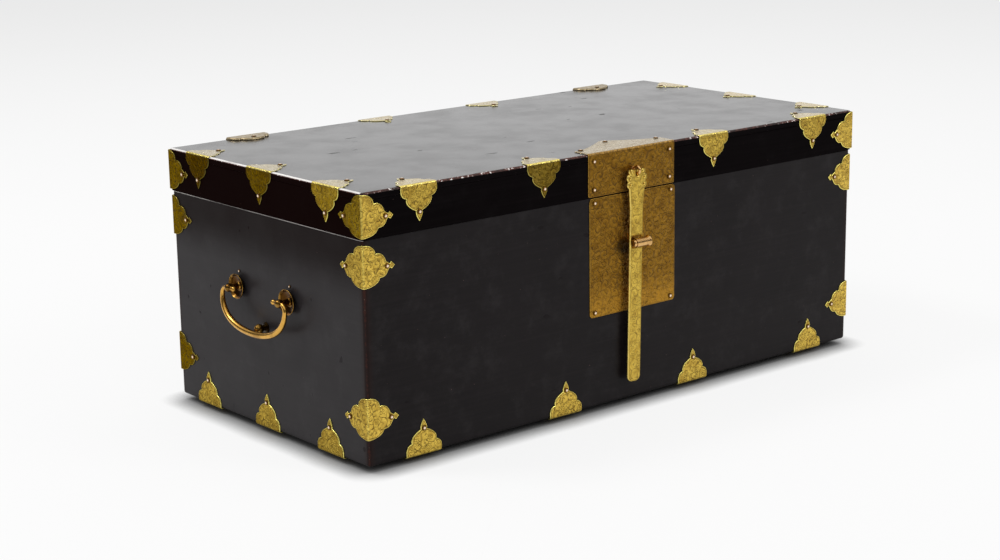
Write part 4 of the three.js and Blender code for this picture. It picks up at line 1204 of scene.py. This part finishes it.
class TRUNK_OT_corner_mounts(bpy.types.Operator):
    """Build the mounts round the upright edges of the lid and the case"""

    bl_idname = "trunk.corner_mounts"
    bl_label = "Corner Mounts"

    def execute(self, context):
        settings = context.scene.trunk_mounts
        rows = (("lid", "lid", LID, 339.9 * MM, 0.755), ("upper", "case", CASE, 279.5 * MM, 0.36),
                ("lower", "case", CASE, 94 * MM, 0.33))
        corners = [(y, x) for y in ("front", "back") for x in ("left", "right")]
        seed = 70
        for prefix, body, (low, high), top, end_shade_and_tarnish in rows:
            for faces in corners:
                x = (low if faces[1] == "left" else high)[0]
                y = (low if faces[0] == "front" else high)[1]
                # Painted shade and tarnish: light on the front faces, darker on the end faces and at the
                # back.
                age = (0.1, end_shade_and_tarnish) if faces[0] == "front" else (0.46, 0.86)
                node = f"{prefix}_corner_{faces[0]}_{faces[1]}"
                corner_mount(node, body, faces, (x, y, top), seed, age, settings)
                seed += 1
        return {"FINISHED"}


class TRUNK_OT_lock(bpy.types.Operator):
    """Build the lock plates, the ring, the strap, the staple and its pin"""

    bl_idname = "trunk.lock"
    bl_label = "Lock"

    def execute(self, context):
        lock, mounts = context.scene.trunk_lock, context.scene.trunk_mounts
        bright = once("rubbed_brass", turned_brass, lock.pin, gloss=0.16, soiled=0.4)
        blade = once("strap_brass", engraved_brass, scaled(mounts.brass, 0.8), mounts.groove,
                     cell=12.0, depth=0.2 * MM, gloss=0.26, tarnish=0.5, strength=0.5)
        finishes = [plate_brass(lock), nails(mounts)]
        self.lid_plate(lock, mounts, finishes)
        self.case_plate(lock, mounts, finishes)
        ring = JOINTS["hasp_swing"]
        low, high = node_box("lock_staple")
        eye = np.array([0, low[1] + 5.9 * MM, (low[2] + high[2]) / 2])
        self.strap(lock, ring, eye, blade)
        self.ring(ring, bright)
        self.staple(eye, high[1], bright)
        self.pin(eye, bright)
        return {"FINISHED"}

    def lid_plate(self, lock, mounts, finishes):
        """The plate on the lid's front, whose wing narrows to a tip on the top."""
        half, reach, corner, inset = lock.lid_plate_width / 2, lock.lid_plate_wing, 1.5 * MM, 9.5 * MM
        fold = Fold((0, LID[0][1], LID[1][2]), RIGHT, SIDES["front"], UP)
        foot = LID[1][2] - LID[0][2] - 0.8 * MM - fold.bend
        wing = half_outline(LOCK_WING, half, reach, (1, 0.42), -1) - (0, fold.arc - fold.bend)
        side = np.concatenate([wing[::-1], [(half, foot - corner), (half - corner, foot)]])
        sheet = cut_sheet(fold, polygon_field(mirrored(side)), spare_lines(-half, half, PLATE_GRID),
                          fold_lines(fold, reach, foot + SPARE, PLATE_GRID), mounts.sheet,
                          seed=90, wing=1.0)
        rows = (inset - fold.bend, foot - inset, -fold.arc - 24 * MM + fold.bend)
        places = [(s * (half - inset), y) for s in (-1, 1) for y in rows]
        places.append((0, -fold.arc - 50 * MM + fold.bend))
        shells = [sheet] + nail_heads(fold, places, mounts.sheet, mounts)
        make("lid_lock_plate_engraved", shells, finishes, "lid", "dark_brass", "lid_lock_plate")

    def case_plate(self, lock, mounts, finishes):
        """The flat plate on the case's front, with round corners."""
        half, top, inset, rise = lock.case_plate_width / 2, 0.8 * MM, 8.5 * MM, 6.5 * MM
        foot = top + lock.case_plate_height
        fold = Fold((3.2 * MM, CASE[0][1], CASE[1][2]), RIGHT, SIDES["front"], UP, bend=0)
        corners = [(half, top), (half, foot), (-half, foot), (-half, top)]
        outline = softened(corners, 5 * MM, steps=6, closed=True)[:, :2]
        sheet = cut_sheet(fold, polygon_field(outline), spare_lines(-half, half, PLATE_GRID),
                          spare_lines(top, foot, PLATE_GRID), mounts.sheet, seed=93)
        places = [(s * (half - inset), y) for s in (-1, 1) for y in (top + rise, foot - rise)]
        shells = [sheet] + nail_heads(fold, places, mounts.sheet, mounts)
        make("case_lock_plate_engraved", shells, finishes, "case", "dark_brass", "case_lock_plate")

    def ring(self, middle, brass):
        """The hasp's ring, with a shank behind it and a collar on the plate."""
        radius = 4.7 * MM
        angle = np.linspace(0, 2 * math.pi, 40, endpoint=False)
        path = middle + radius * (np.cos(angle)[:, None] * BACK + np.sin(angle)[:, None] * UP)
        shank = [(0, 0), (2.1, 0), (2.1, 17), (0, 17)]
        collar = [(0, 0), (4.4, 0), (4.0, 1.1), (0, 1.3)]
        plate = (middle[0], LID[0][1] - 1.3 * MM, middle[2])
        shells = [tube(path, 1.8 * MM, sides=18, closed=True),
                  turned(middle + radius * BACK, BACK, shank, 0.3, sides=16),
                  turned(plate, -BACK, collar, 0.4, sides=24)]
        make("hasp_ring", shells, [brass], "lid", "handle_brass", "hasp_staple")

    def staple(self, eye, inner, brass):
        """A rolled eye on a tongue that passes through the strap's slot to the case's inside."""
        profile = [(5.2, 8), (5.2, -8), (5.9, -8), (5.9, 8)]
        barrel = turned(eye, RIGHT, profile, 0.25, sides=40, steps=2, closed=True)
        low = (-7 * MM, eye[1] + 5.3 * MM, eye[2] - 2.5 * MM)
        high = (7 * MM, inner, eye[2] + 2.5 * MM)
        tongue = slab(low, high, 0.6 * MM, 0.7 * MM, 0.7 * MM)
        make("lock_staple_rolled", [barrel, tongue], [brass], "case", "handle_brass", "lock_staple")

    def pin(self, eye, brass):
        """The turned pin, with a collar and a flared head on its right."""
        rows = [(0, -11.5), (3.7, -11.5), (4.9, -10.2), (4.9, 8.3), (5.7, 8.4), (5.7, 12.4),
                (6.2, 13.0), (7.4, 14.4), (7.4, 16.0), (5.4, 15.4), (0, 15.2)]
        soft = [0, 0.5, 0.5, 0.1, 0.25, 0.3, 0.3, 0.4, 0.5, 0.3, 0]
        pin = turned(eye, RIGHT, rows, soft, sides=40)
        make("lock_pin_turned", pin, [brass], "lock_pin", "handle_brass", "lock_pin")

    def strap(self, lock, ring, eye, finish):
        """The strap: a blade that narrows below its head and has round corners at its end,
        three discs on each side of its head, and its holes taken out, all as signed distances
        in the flat. It hangs from the ring and passes over the eye, so its lean is the angle
        from one to the other."""
        lean = math.atan2(ring[0] - eye[0], ring[2] - eye[2])
        slot_drop = (ring[2] - eye[2]) / math.cos(lean)
        half, reach = lock.strap_width / 2, lock.strap_reach
        head_low, lobe, bow = 24 * MM, 4.9 * MM, 8 * MM
        shares = ((0.77, 0.042), (1, 0.408), (0.95, 0.779))
        places = [(x * (17.5 * MM - lobe), y * head_low) for x, y in shares]
        angle = np.linspace(0, math.pi / 2, 13)
        end = np.stack([half - bow + bow * np.cos(angle), reach - bow + bow * np.sin(angle)], -1)
        side = np.array([(places[0][0], -3 * MM), places[1], (13.3 * MM, head_low), (half, 48 * MM)])
        blade = polygon_field(mirrored(np.concatenate([side, end])))
        pairs = [(s * x, y) for x, y in places for s in (-1, 1)]
        body = joined_field(blade, *(disc_field(pair, lobe) for pair in pairs))
        ways = ((1, -1), (1, 1), (-1, 1), (-1, -1))
        corners = [(s * 8.6 * MM, slot_drop + t * 7 * MM) for s, t in ways]
        holes = [disc_field(pair, 1.2 * MM) for pair in pairs]
        holes += [disc_field((0, 5.0 * MM), 2.9 * MM), disc_field((0, -4.4 * MM), 3.7 * MM)]
        holes.append(polygon_field(softened(corners, 1.2 * MM, closed=True)[:, :2]))
        across = math.cos(lean) * RIGHT - math.sin(lean) * UP
        above = math.sin(lean) * RIGHT + math.cos(lean) * UP
        fold = Fold(ring, across, SIDES["front"], above, bend=0, lift=-1.25 * MM)
        split = 26 * MM
        down_lines = [lines(-4.6 * MM, split, 0.6 * MM), lines(split, reach + SPARE, 0.9 * MM)[1:]]
        sheet = cut_sheet(fold, cut_field(body, *holes), lines(-17.8 * MM, 17.8 * MM, 0.7 * MM),
                          np.concatenate(down_lines), 2.5 * MM, rim=1.1 * MM, seed=96)
        make("hasp_strap_engraved", sheet, [finish], "hasp", "bright_brass", "hasp_strap")


class TRUNK_OT_handles(bpy.types.Operator):
    """Build the rosettes, posts, strikers and bails on both ends"""

    bl_idname = "trunk.handles"
    bl_label = "Handles"

    def execute(self, context):
        settings = context.scene.trunk_handles
        mounts = context.scene.trunk_mounts
        brass = once("turned_brass", turned_brass, settings.brass, gloss=0.14)
        dished = once("dished_brass", turned_brass, settings.brass, gloss=0.16, hollow=0.95)
        # Painted shade: the handle brass at 0.12 of its colour, for the strikers' feet.
        soiled = once("soiled_brass", turned_brass, scaled(settings.brass, 0.12), gloss=0.3)
        # Painted light: the bail's brass at twice the handle brass's colour, standing for the light along
        # the bail.
        bright = scaled(settings.brass, 2.0)
        grip = once("grip_brass", turned_brass, bright, gloss=0.2, soiled=0.4)
        for end in ("left", "right"):
            out = SIDES[end]
            pivot = JOINTS[f"{end}_bail_swing"]
            face = np.array([(CASE[0] if end == "left" else CASE[1])[0], pivot[1], pivot[2]])
            for place, sign in (("front", -1), ("back", 1)):
                foot = face + sign * POST_GAP * BACK
                self.fitting(settings, f"{end}_{place}", foot, out, brass, dished)
                rows = [(0, 0), (2.1, 0), (2.1, 0.5), (1.1, 1.3), (0, 1.5)]
                nail = turned(foot + ROSETTE_NAIL * UP, out, rows, 0.3, sides=16, steps=2)
                make(f"{end}_{place}_rosette_nail", nail, [nails(mounts)], "case", "handle_brass")
            self.striker(f"{end}_striker", face - STRIKER_DROP * UP, out, brass, soiled)
            self.bail(settings, end, pivot, out, grip)
        return {"FINISHED"}

    def fitting(self, settings, prefix, foot, out, brass, dished):
        """A rosette and its post: profiles turned round the post's axis."""
        r = settings.rosette_radius / MM
        rows = [(3.3, 0.3), (7, 0.3), (r - 2.8, 2.3), (r - 0.2, 5.9), (r, 6.7), (r - 0.6, 7.2),
                (r - 1.3, 6.4), (r - 3.2, 3.6), (7, 1.5), (3.3, 1.5)]
        soft = [0.1, 1.5, 3, 0.5, 0.3, 0.3, 0.5, 3, 1.5, 0.1]
        dish = turned(foot, out, rows, soft, sides=48, closed=True)
        make(f"{prefix}_rosette_dished", dish, [dished], "case", "handle_brass", f"{prefix}_rosette")
        neck = [(0, -15.6), (2.9, -15.6), (2.9, 1.8), (5.0, 1.8), (5.2, 2.8), (3.9, 3.9), (3.5, 9.4),
                (4.0, 11.0), (4.6, 11.9)]
        head = 17 * MM
        points = np.concatenate([np.array(neck) * MM, ball_points(5.6 * MM, head, 4.3 * MM, 9)])
        radii = [0, 0.2 * MM] + [0.35 * MM] * (len(neck) - 2) + [0.9 * MM] * 9 + [0]
        shells = [lathed(foot, out, points, radii, steps=2)]
        washer = [(2.6, -0.8), (3.4, -0.8), (3.3, 0.3), (2.6, 0.3)]
        for sign in (-1, 1):
            spot = foot + head * out + sign * 5.0 * MM * BACK
            shells.append(turned(spot, sign * BACK, washer, 0.15, sides=24, steps=2, closed=True))
        make(f"{prefix}_post_turned", shells, [brass], "case", "handle_brass", f"{prefix}_post")

    def striker(self, name, foot, out, brass, soiled):
        """A knob: a stepped foot with a waist, and a ball, both turned round its axis. The foot is
        near black brass, painted shade behind the ball.
        """
        rows = [(0, -9.8), (2.3, -9.8), (2.3, 0.3), (7, 0.3), (7, 1.2), (6.2, 1.9), (4.0, 2.6),
                (3.4, 5.8), (0, 5.8)]
        soft = [0, 0.2, 0.2, 0.3, 0.4, 0.4, 0.6, 0.2, 0]
        base = turned(foot, out, rows, soft, sides=36, steps=2).painted(1)
        knob = ball(foot + 10.9 * MM * out, STRIKER_BALL, out, sides=36)
        make(f"{name}_turned", [knob, base], [brass, soiled], "case", "handle_brass", name)

    def bail(self, settings, end, pivot, out, brass):
        """The bail: a bar along a cubic curve, a quarter circle and a straight end, mirrored,
        that thickens with its depth, with a small ball and collar on each end. It leans out
        until it rests on the striker's ball: two sides and the third of a triangle give the
        angle at the pivot by the law of cosines."""
        grip, gap = 4.3 * MM, 0.5 * MM
        inward, low, touch = 6.1 * MM, STRIKER_DROP, STRIKER_BALL + grip + gap
        reach, drop = math.hypot(inward, low), settings.bail_drop
        share = (reach ** 2 + drop ** 2 - touch ** 2) / (2 * reach * drop)
        lean = math.acos(min(share, 1)) - math.atan2(inward, low)
        above = math.cos(lean) * UP - math.sin(lean) * out
        side, drop, bend = settings.bail_span / 2, settings.bail_drop, 9 * MM
        curve = bezier([(0.57 * side, -drop, side, -0.74 * drop, side, -bend)], (0, -drop), steps=30)
        angle = np.linspace(0, math.pi / 2, 10)[1:, None]
        turn = np.concatenate([np.cos(angle), np.sin(angle)], 1)
        turn = np.array([[side - bend, -bend]]) + bend * turn
        reach = 45.75 * MM
        straight = np.linspace(turn[-1], (reach, 0), 6)[1:]
        half = np.concatenate([curve, turn, straight])
        line = np.concatenate([(half * (-1, 1))[::-1], half[1:]])
        thin = 2.5 * MM
        radii = thin + (settings.grip_radius - thin) * np.clip(-line[:, 1] / drop, 0, 1) ** 0.8
        path = pivot + line[:, :1] * BACK + line[:, 1:] * above
        shells = [tube(path, radii, sides=24)]
        for sign in (-1, 1):
            tip = pivot + sign * reach * BACK
            shells.append(ball(tip - sign * 1.0 * MM * BACK, 3.5 * MM, BACK, sides=28))
            collar = [(0, -0.7), (3.1, -0.7), (3.1, 0.7), (0, 0.7)]
            shells.append(turned(tip + sign * 3.4 * MM * BACK, BACK, collar, 0.4, sides=28))
        make(f"{end}_bail_cast", shells, [brass], f"{end}_bail", "handle_brass", f"{end}_bail")


class TRUNK_OT_hinges(bpy.types.Operator):
    """Build the two hinges: a leaf over the lid's back edge, a leaf on the case, and a pin"""

    bl_idname = "trunk.hinges"
    bl_label = "Hinges"

    def execute(self, context):
        settings, mounts = context.scene.trunk_hinges, context.scene.trunk_mounts
        plate = context.scene.trunk_lock.plate
        dark = once("hinge_brass", engraved_brass, scaled(plate, 0.55), plate, cell=12.0,
                    depth=0.18 * MM, gloss=0.42, tarnish=0.7, strength=0.6)
        finishes = [dark, nails(mounts)]
        reach = settings.width / 2 + 1.4 * MM
        rows = [(0, -reach), (2.3 * MM, -reach), (2.3 * MM, reach), (0, reach)]
        for end in ("left", "right"):
            low, high = node_box(f"{end}_hinge_pin")
            pivot = np.array([(low[0] + high[0]) / 2, *JOINTS["lid_hinge"][1:]])
            self.lid_leaf(settings, mounts, end, pivot, finishes)
            self.case_leaf(settings, mounts, end, pivot, finishes)
            pin = lathed(pivot, RIGHT, rows, 0.5 * MM, sides=24)
            make(f"{end}_hinge_pin_turned", pin, [dark], "case", "dark_brass", f"{end}_hinge_pin")
        return {"FINISHED"}

    def lid_leaf(self, settings, mounts, end, pivot, finishes):
        """The leaf on the lid: a wing over the top, and a tongue with the middle knuckle."""
        half, over_sheet = settings.width / 2, 2.8 * MM
        root = settings.width / 6 - 0.2 * MM
        fold = Fold((pivot[0], LID[1][1], LID[1][2]), -RIGHT, BACK, UP)
        foot = LID[1][2] - pivot[2] - fold.bend
        shoulder = foot - HINGE_NOTCH
        wing = half_outline(HINGE_WING, half, settings.wing, (1, 0.3), -1) - (0, fold.arc - fold.bend)
        side = np.concatenate([wing[::-1], [(half, shoulder), (root, shoulder), (root, foot)]])
        leaf = cut_sheet(fold, polygon_field(mirrored(side)), spare_lines(-half, half, HINGE_GRID),
                         fold_lines(fold, settings.wing, foot, HINGE_GRID), (HINGE_SHEET, over_sheet),
                         seed=100, wing=0.8)
        rows = (HINGE_INSET - fold.bend, shoulder - HINGE_INSET)
        places = [(s * (half - HINGE_INSET), y) for s in (-1, 1) for y in rows]
        over = (0, -fold.arc - settings.wing + HINGE_INSET + fold.bend)
        shells = [leaf, self.knuckle(pivot, -root, root)]
        shells += nail_heads(fold, places, HINGE_SHEET, mounts, HINGE_NAIL)
        shells += nail_heads(fold, [over], over_sheet, mounts, HINGE_NAIL)
        node = f"{end}_hinge_lid_leaf"
        make(f"{node}_cut", shells, finishes, "lid", "dark_brass", node)

    def case_leaf(self, settings, mounts, end, pivot, finishes):
        """The leaf on the case, with a knuckle and its web on each side of the lid's one."""
        half, drop = settings.width / 2, settings.drop - HINGE_NOTCH
        root = settings.width / 6 - 0.2 * MM
        outer = (settings.width - 2 * root) / 2 - 0.4 * MM
        x, y, z = pivot
        fold = Fold((x, CASE[1][1], z - HINGE_NOTCH), -RIGHT, BACK, UP, bend=0)
        side = np.concatenate([[(half, 0)], half_outline(HINGE_LEAF, half, drop, (1, 0.68), 1)])
        leaf = cut_sheet(fold, polygon_field(mirrored(side)), spare_lines(-half, half, HINGE_GRID),
                         spare_lines(0, drop, HINGE_GRID), HINGE_SHEET, seed=101)
        places = [(s * (half - HINGE_INSET), HINGE_INSET) for s in (-1, 1)]
        places.append((0, drop - HINGE_INSET))
        shells = [leaf] + nail_heads(fold, places, HINGE_SHEET, mounts, HINGE_NAIL)
        for near, far in ((-half, outer - half), (half - outer, half)):
            shells.append(self.knuckle(pivot, near, far))
            low = (x + near, CASE[1][1] + 0.3 * MM, z - 6.5 * MM)
            high = (x + far, y + 1.0 * MM, z - 3.0 * MM)
            shells.append(slab(low, high, 0.4 * MM, 0.4 * MM, 0.4 * MM))
        node = f"{end}_hinge_case_leaf"
        make(f"{node}_cut", shells, finishes, "case", "dark_brass", node)

    def knuckle(self, pivot, low, high):
        """A rolled knuckle: a closed ring profile turned round the hinge's axis."""
        bore, radius = 2.8 * MM, 4.35 * MM
        profile = [(bore, high), (bore, low), (radius, low), (radius, high)]
        return lathed(pivot, RIGHT, profile, 0.3 * MM, steps=2, closed=True)


class TRUNK_OT_stage(bpy.types.Operator):
    """Build the floor, the lamps, the pale surroundings and the camera"""

    bl_idname = "trunk.stage"
    bl_label = "Stage"

    def execute(self, context):
        stage = context.scene.trunk_stage
        self.floor(stage)
        self.surroundings(context, stage)
        self.lamp("key_lamp", (1.5, -2.9, 2.3), size=1.3, power=stage.key)
        self.lamp("rim_lamp", (-2.2, 1.5, 3.4), size=1.0, power=stage.rim)
        self.camera(context)
        return {"FINISHED"}

    def floor(self, stage):
        """A flat square of 60 metres, just under the battens. Seen straight, in a reflection or
        through something it glows nearly white, with a painted shadow from ambient occlusion where
        the object stands close over it and painted light that fades a little with distance; as a
        source of light for the object it is a plain pale floor."""
        mesh = bpy.data.meshes.new("floor")
        reach, level = 30.0, -0.1 * MM
        ways = ((-1, -1), (1, -1), (1, 1), (-1, 1))
        mesh.from_pydata([(x * reach, y * reach, level) for x, y in ways], [], [(0, 1, 2, 3)])
        floor = bpy.data.objects.new("floor", mesh)
        bpy.context.scene.collection.objects.link(floor)
        f = Finish("pale_floor")
        place = f.place()
        cloud = f.noise(place, 1.3, 3.0)
        colour = f.mix(f.rise(cloud, 0.3, 0.7), scaled(stage.floor, 0.985), stage.floor)
        f.set("Base Color", colour)
        f.set("Roughness", 0.9)
        f.set("Specular IOR Level", 0.1)
        # Painted shadow: ambient occlusion darkens the floor's glow near the object.
        near = f.fill(f.add("ShaderNodeAmbientOcclusion", samples=16), Distance=stage.shade_reach)
        open_share = f.math("POWER", near.outputs["AO"], 2.6)
        away = f.rise(f.vector("LENGTH", place), 1.0, 6.0, 1.0, 0.86)
        glow = f.fill(f.add("ShaderNodeEmission"), Strength=f.times(open_share, away))
        rays = f.add("ShaderNodeLightPath").outputs
        seen = f.most(rays["Is Camera Ray"], rays["Is Glossy Ray"])
        seen = f.most(seen, rays["Is Transmission Ray"])
        both = f.add("ShaderNodeMixShader")
        shares = (f.times(seen, stage.pale_share), f.shader.outputs[0], glow.outputs[0])
        for socket, value in zip(both.inputs, shares):
            f.feed(socket, value)
        f.tree.links.new(both.outputs[0], f.output.inputs["Surface"])
        mesh.materials.append(f.material)

    def surroundings(self, context, stage):
        """White for the camera and a plain fill light. In reflections they are a studio: white
        overhead and behind the trunk, grey at the other sides."""
        world = bpy.data.worlds.new("pale_surroundings")
        world.use_nodes = True
        f = Nodes(world.node_tree)
        rays = f.add("ShaderNodeLightPath").outputs
        way = f.add("ShaderNodeTexCoord").outputs["Generated"]
        overhead = f.rise(f.split(way)[2], 0.42, 0.7)
        parts = f.split(f.vector("MULTIPLY", way, (0.64, 0.77, 0.0)))
        behind = f.rise(f.plus(parts[0], parts[1]), 0.5, 0.8)
        studio = f.most(overhead, behind)
        studio = f.math("MULTIPLY_ADD", studio, 1.0 - stage.dim_side, stage.dim_side)
        reflected = f.times(rays["Is Glossy Ray"], studio)
        clear = f.most(rays["Is Camera Ray"], rays["Is Transmission Ray"])
        seen = f.most(clear, rays["Is Glossy Ray"])
        plain = f.times(f.minus(1.0, seen), stage.fill)
        strength = f.plus(f.most(clear, reflected), plain)
        background = f.fill(f.add("ShaderNodeBackground"), Color=(1, 1, 1, 1), Strength=strength)
        output = f.add("ShaderNodeOutputWorld")
        f.tree.links.new(background.outputs[0], output.inputs["Surface"])
        context.scene.world = world

    def lamp(self, name, place, size, power):
        light = bpy.data.lights.new(name, "AREA")
        light.shape = "SQUARE"
        light.size = size
        light.energy = power
        lamp = bpy.data.objects.new(name, light)
        lamp.location = place
        ahead = Vector((0, 0, 0.15)) - Vector(place)
        lamp.rotation_euler = ahead.to_track_quat("-Z", "Y").to_euler()
        bpy.context.scene.collection.objects.link(lamp)

    def camera(self, context):
        """The photograph's view: turned to its bearing, tipped down and rolled a little. The
        focal length is that of a picture 1000 pixels wide, as the sensor's width over it."""
        bearing, tip, roll = math.radians(39.83), math.radians(13.774), math.radians(-0.843)
        ahead = Vector((math.sin(bearing) * math.cos(tip), math.cos(bearing) * math.cos(tip),
                        -math.sin(tip)))
        level = Vector((math.cos(bearing), -math.sin(bearing), 0))
        above = level.cross(ahead)
        side = level * math.cos(roll) + above * math.sin(roll)
        data = bpy.data.cameras.new("camera")
        data.sensor_fit = "HORIZONTAL"
        data.sensor_width = 36
        data.lens = 2044.1 * 36 / 1000
        camera = bpy.data.objects.new("camera", data)
        axes = Matrix((side, side.cross(-ahead) * -1, -ahead)).transposed()
        camera.matrix_world = Matrix.Translation((-1.7878, -2.0817, 0.8037)) @ axes.to_4x4()
        bpy.context.scene.collection.objects.link(camera)
        context.scene.camera = camera
        context.scene.view_settings.view_transform = "Standard"


STEPS = (TRUNK_OT_case, TRUNK_OT_lid, TRUNK_OT_edge_mounts, TRUNK_OT_corner_mounts, TRUNK_OT_lock,
         TRUNK_OT_handles, TRUNK_OT_hinges, TRUNK_OT_stage)
GROUPS = {"trunk_boards": BoardSettings, "trunk_mounts": MountSettings, "trunk_lock": LockSettings,
          "trunk_handles": HandleSettings, "trunk_hinges": HingeSettings, "trunk_stage": StageSettings}


class TRUNK_PT_sidebar(bpy.types.Panel):
    """The trunk's sizes and colours, and a button for each group of pieces"""

    bl_idname = "TRUNK_PT_sidebar"
    bl_label = "Lacquer Trunk"
    bl_space_type = "VIEW_3D"
    bl_region_type = "UI"
    bl_category = "Trunk"

    def draw(self, context):
        for key, group in GROUPS.items():
            settings = getattr(context.scene, key)
            column = self.layout.box().column()
            column.label(text=key.split("_")[1].title())
            for name in group.__annotations__:
                column.prop(settings, name)
        column = self.layout.column()
        for step in STEPS:
            column.operator(step.bl_idname)


def register():
    for cls in (*GROUPS.values(), *STEPS, TRUNK_PT_sidebar):
        bpy.utils.register_class(cls)
    for key, group in GROUPS.items():
        setattr(bpy.types.Scene, key, PointerProperty(type=group))


def unregister():
    for key in GROUPS:
        delattr(bpy.types.Scene, key)
    for cls in reversed((*GROUPS.values(), *STEPS, TRUNK_PT_sidebar)):
        bpy.utils.unregister_class(cls)


def main():
    register()
    for step in STEPS:
        getattr(bpy.ops.trunk, step.bl_idname.split(".")[1])()


if __name__ == "__main__":
    main()
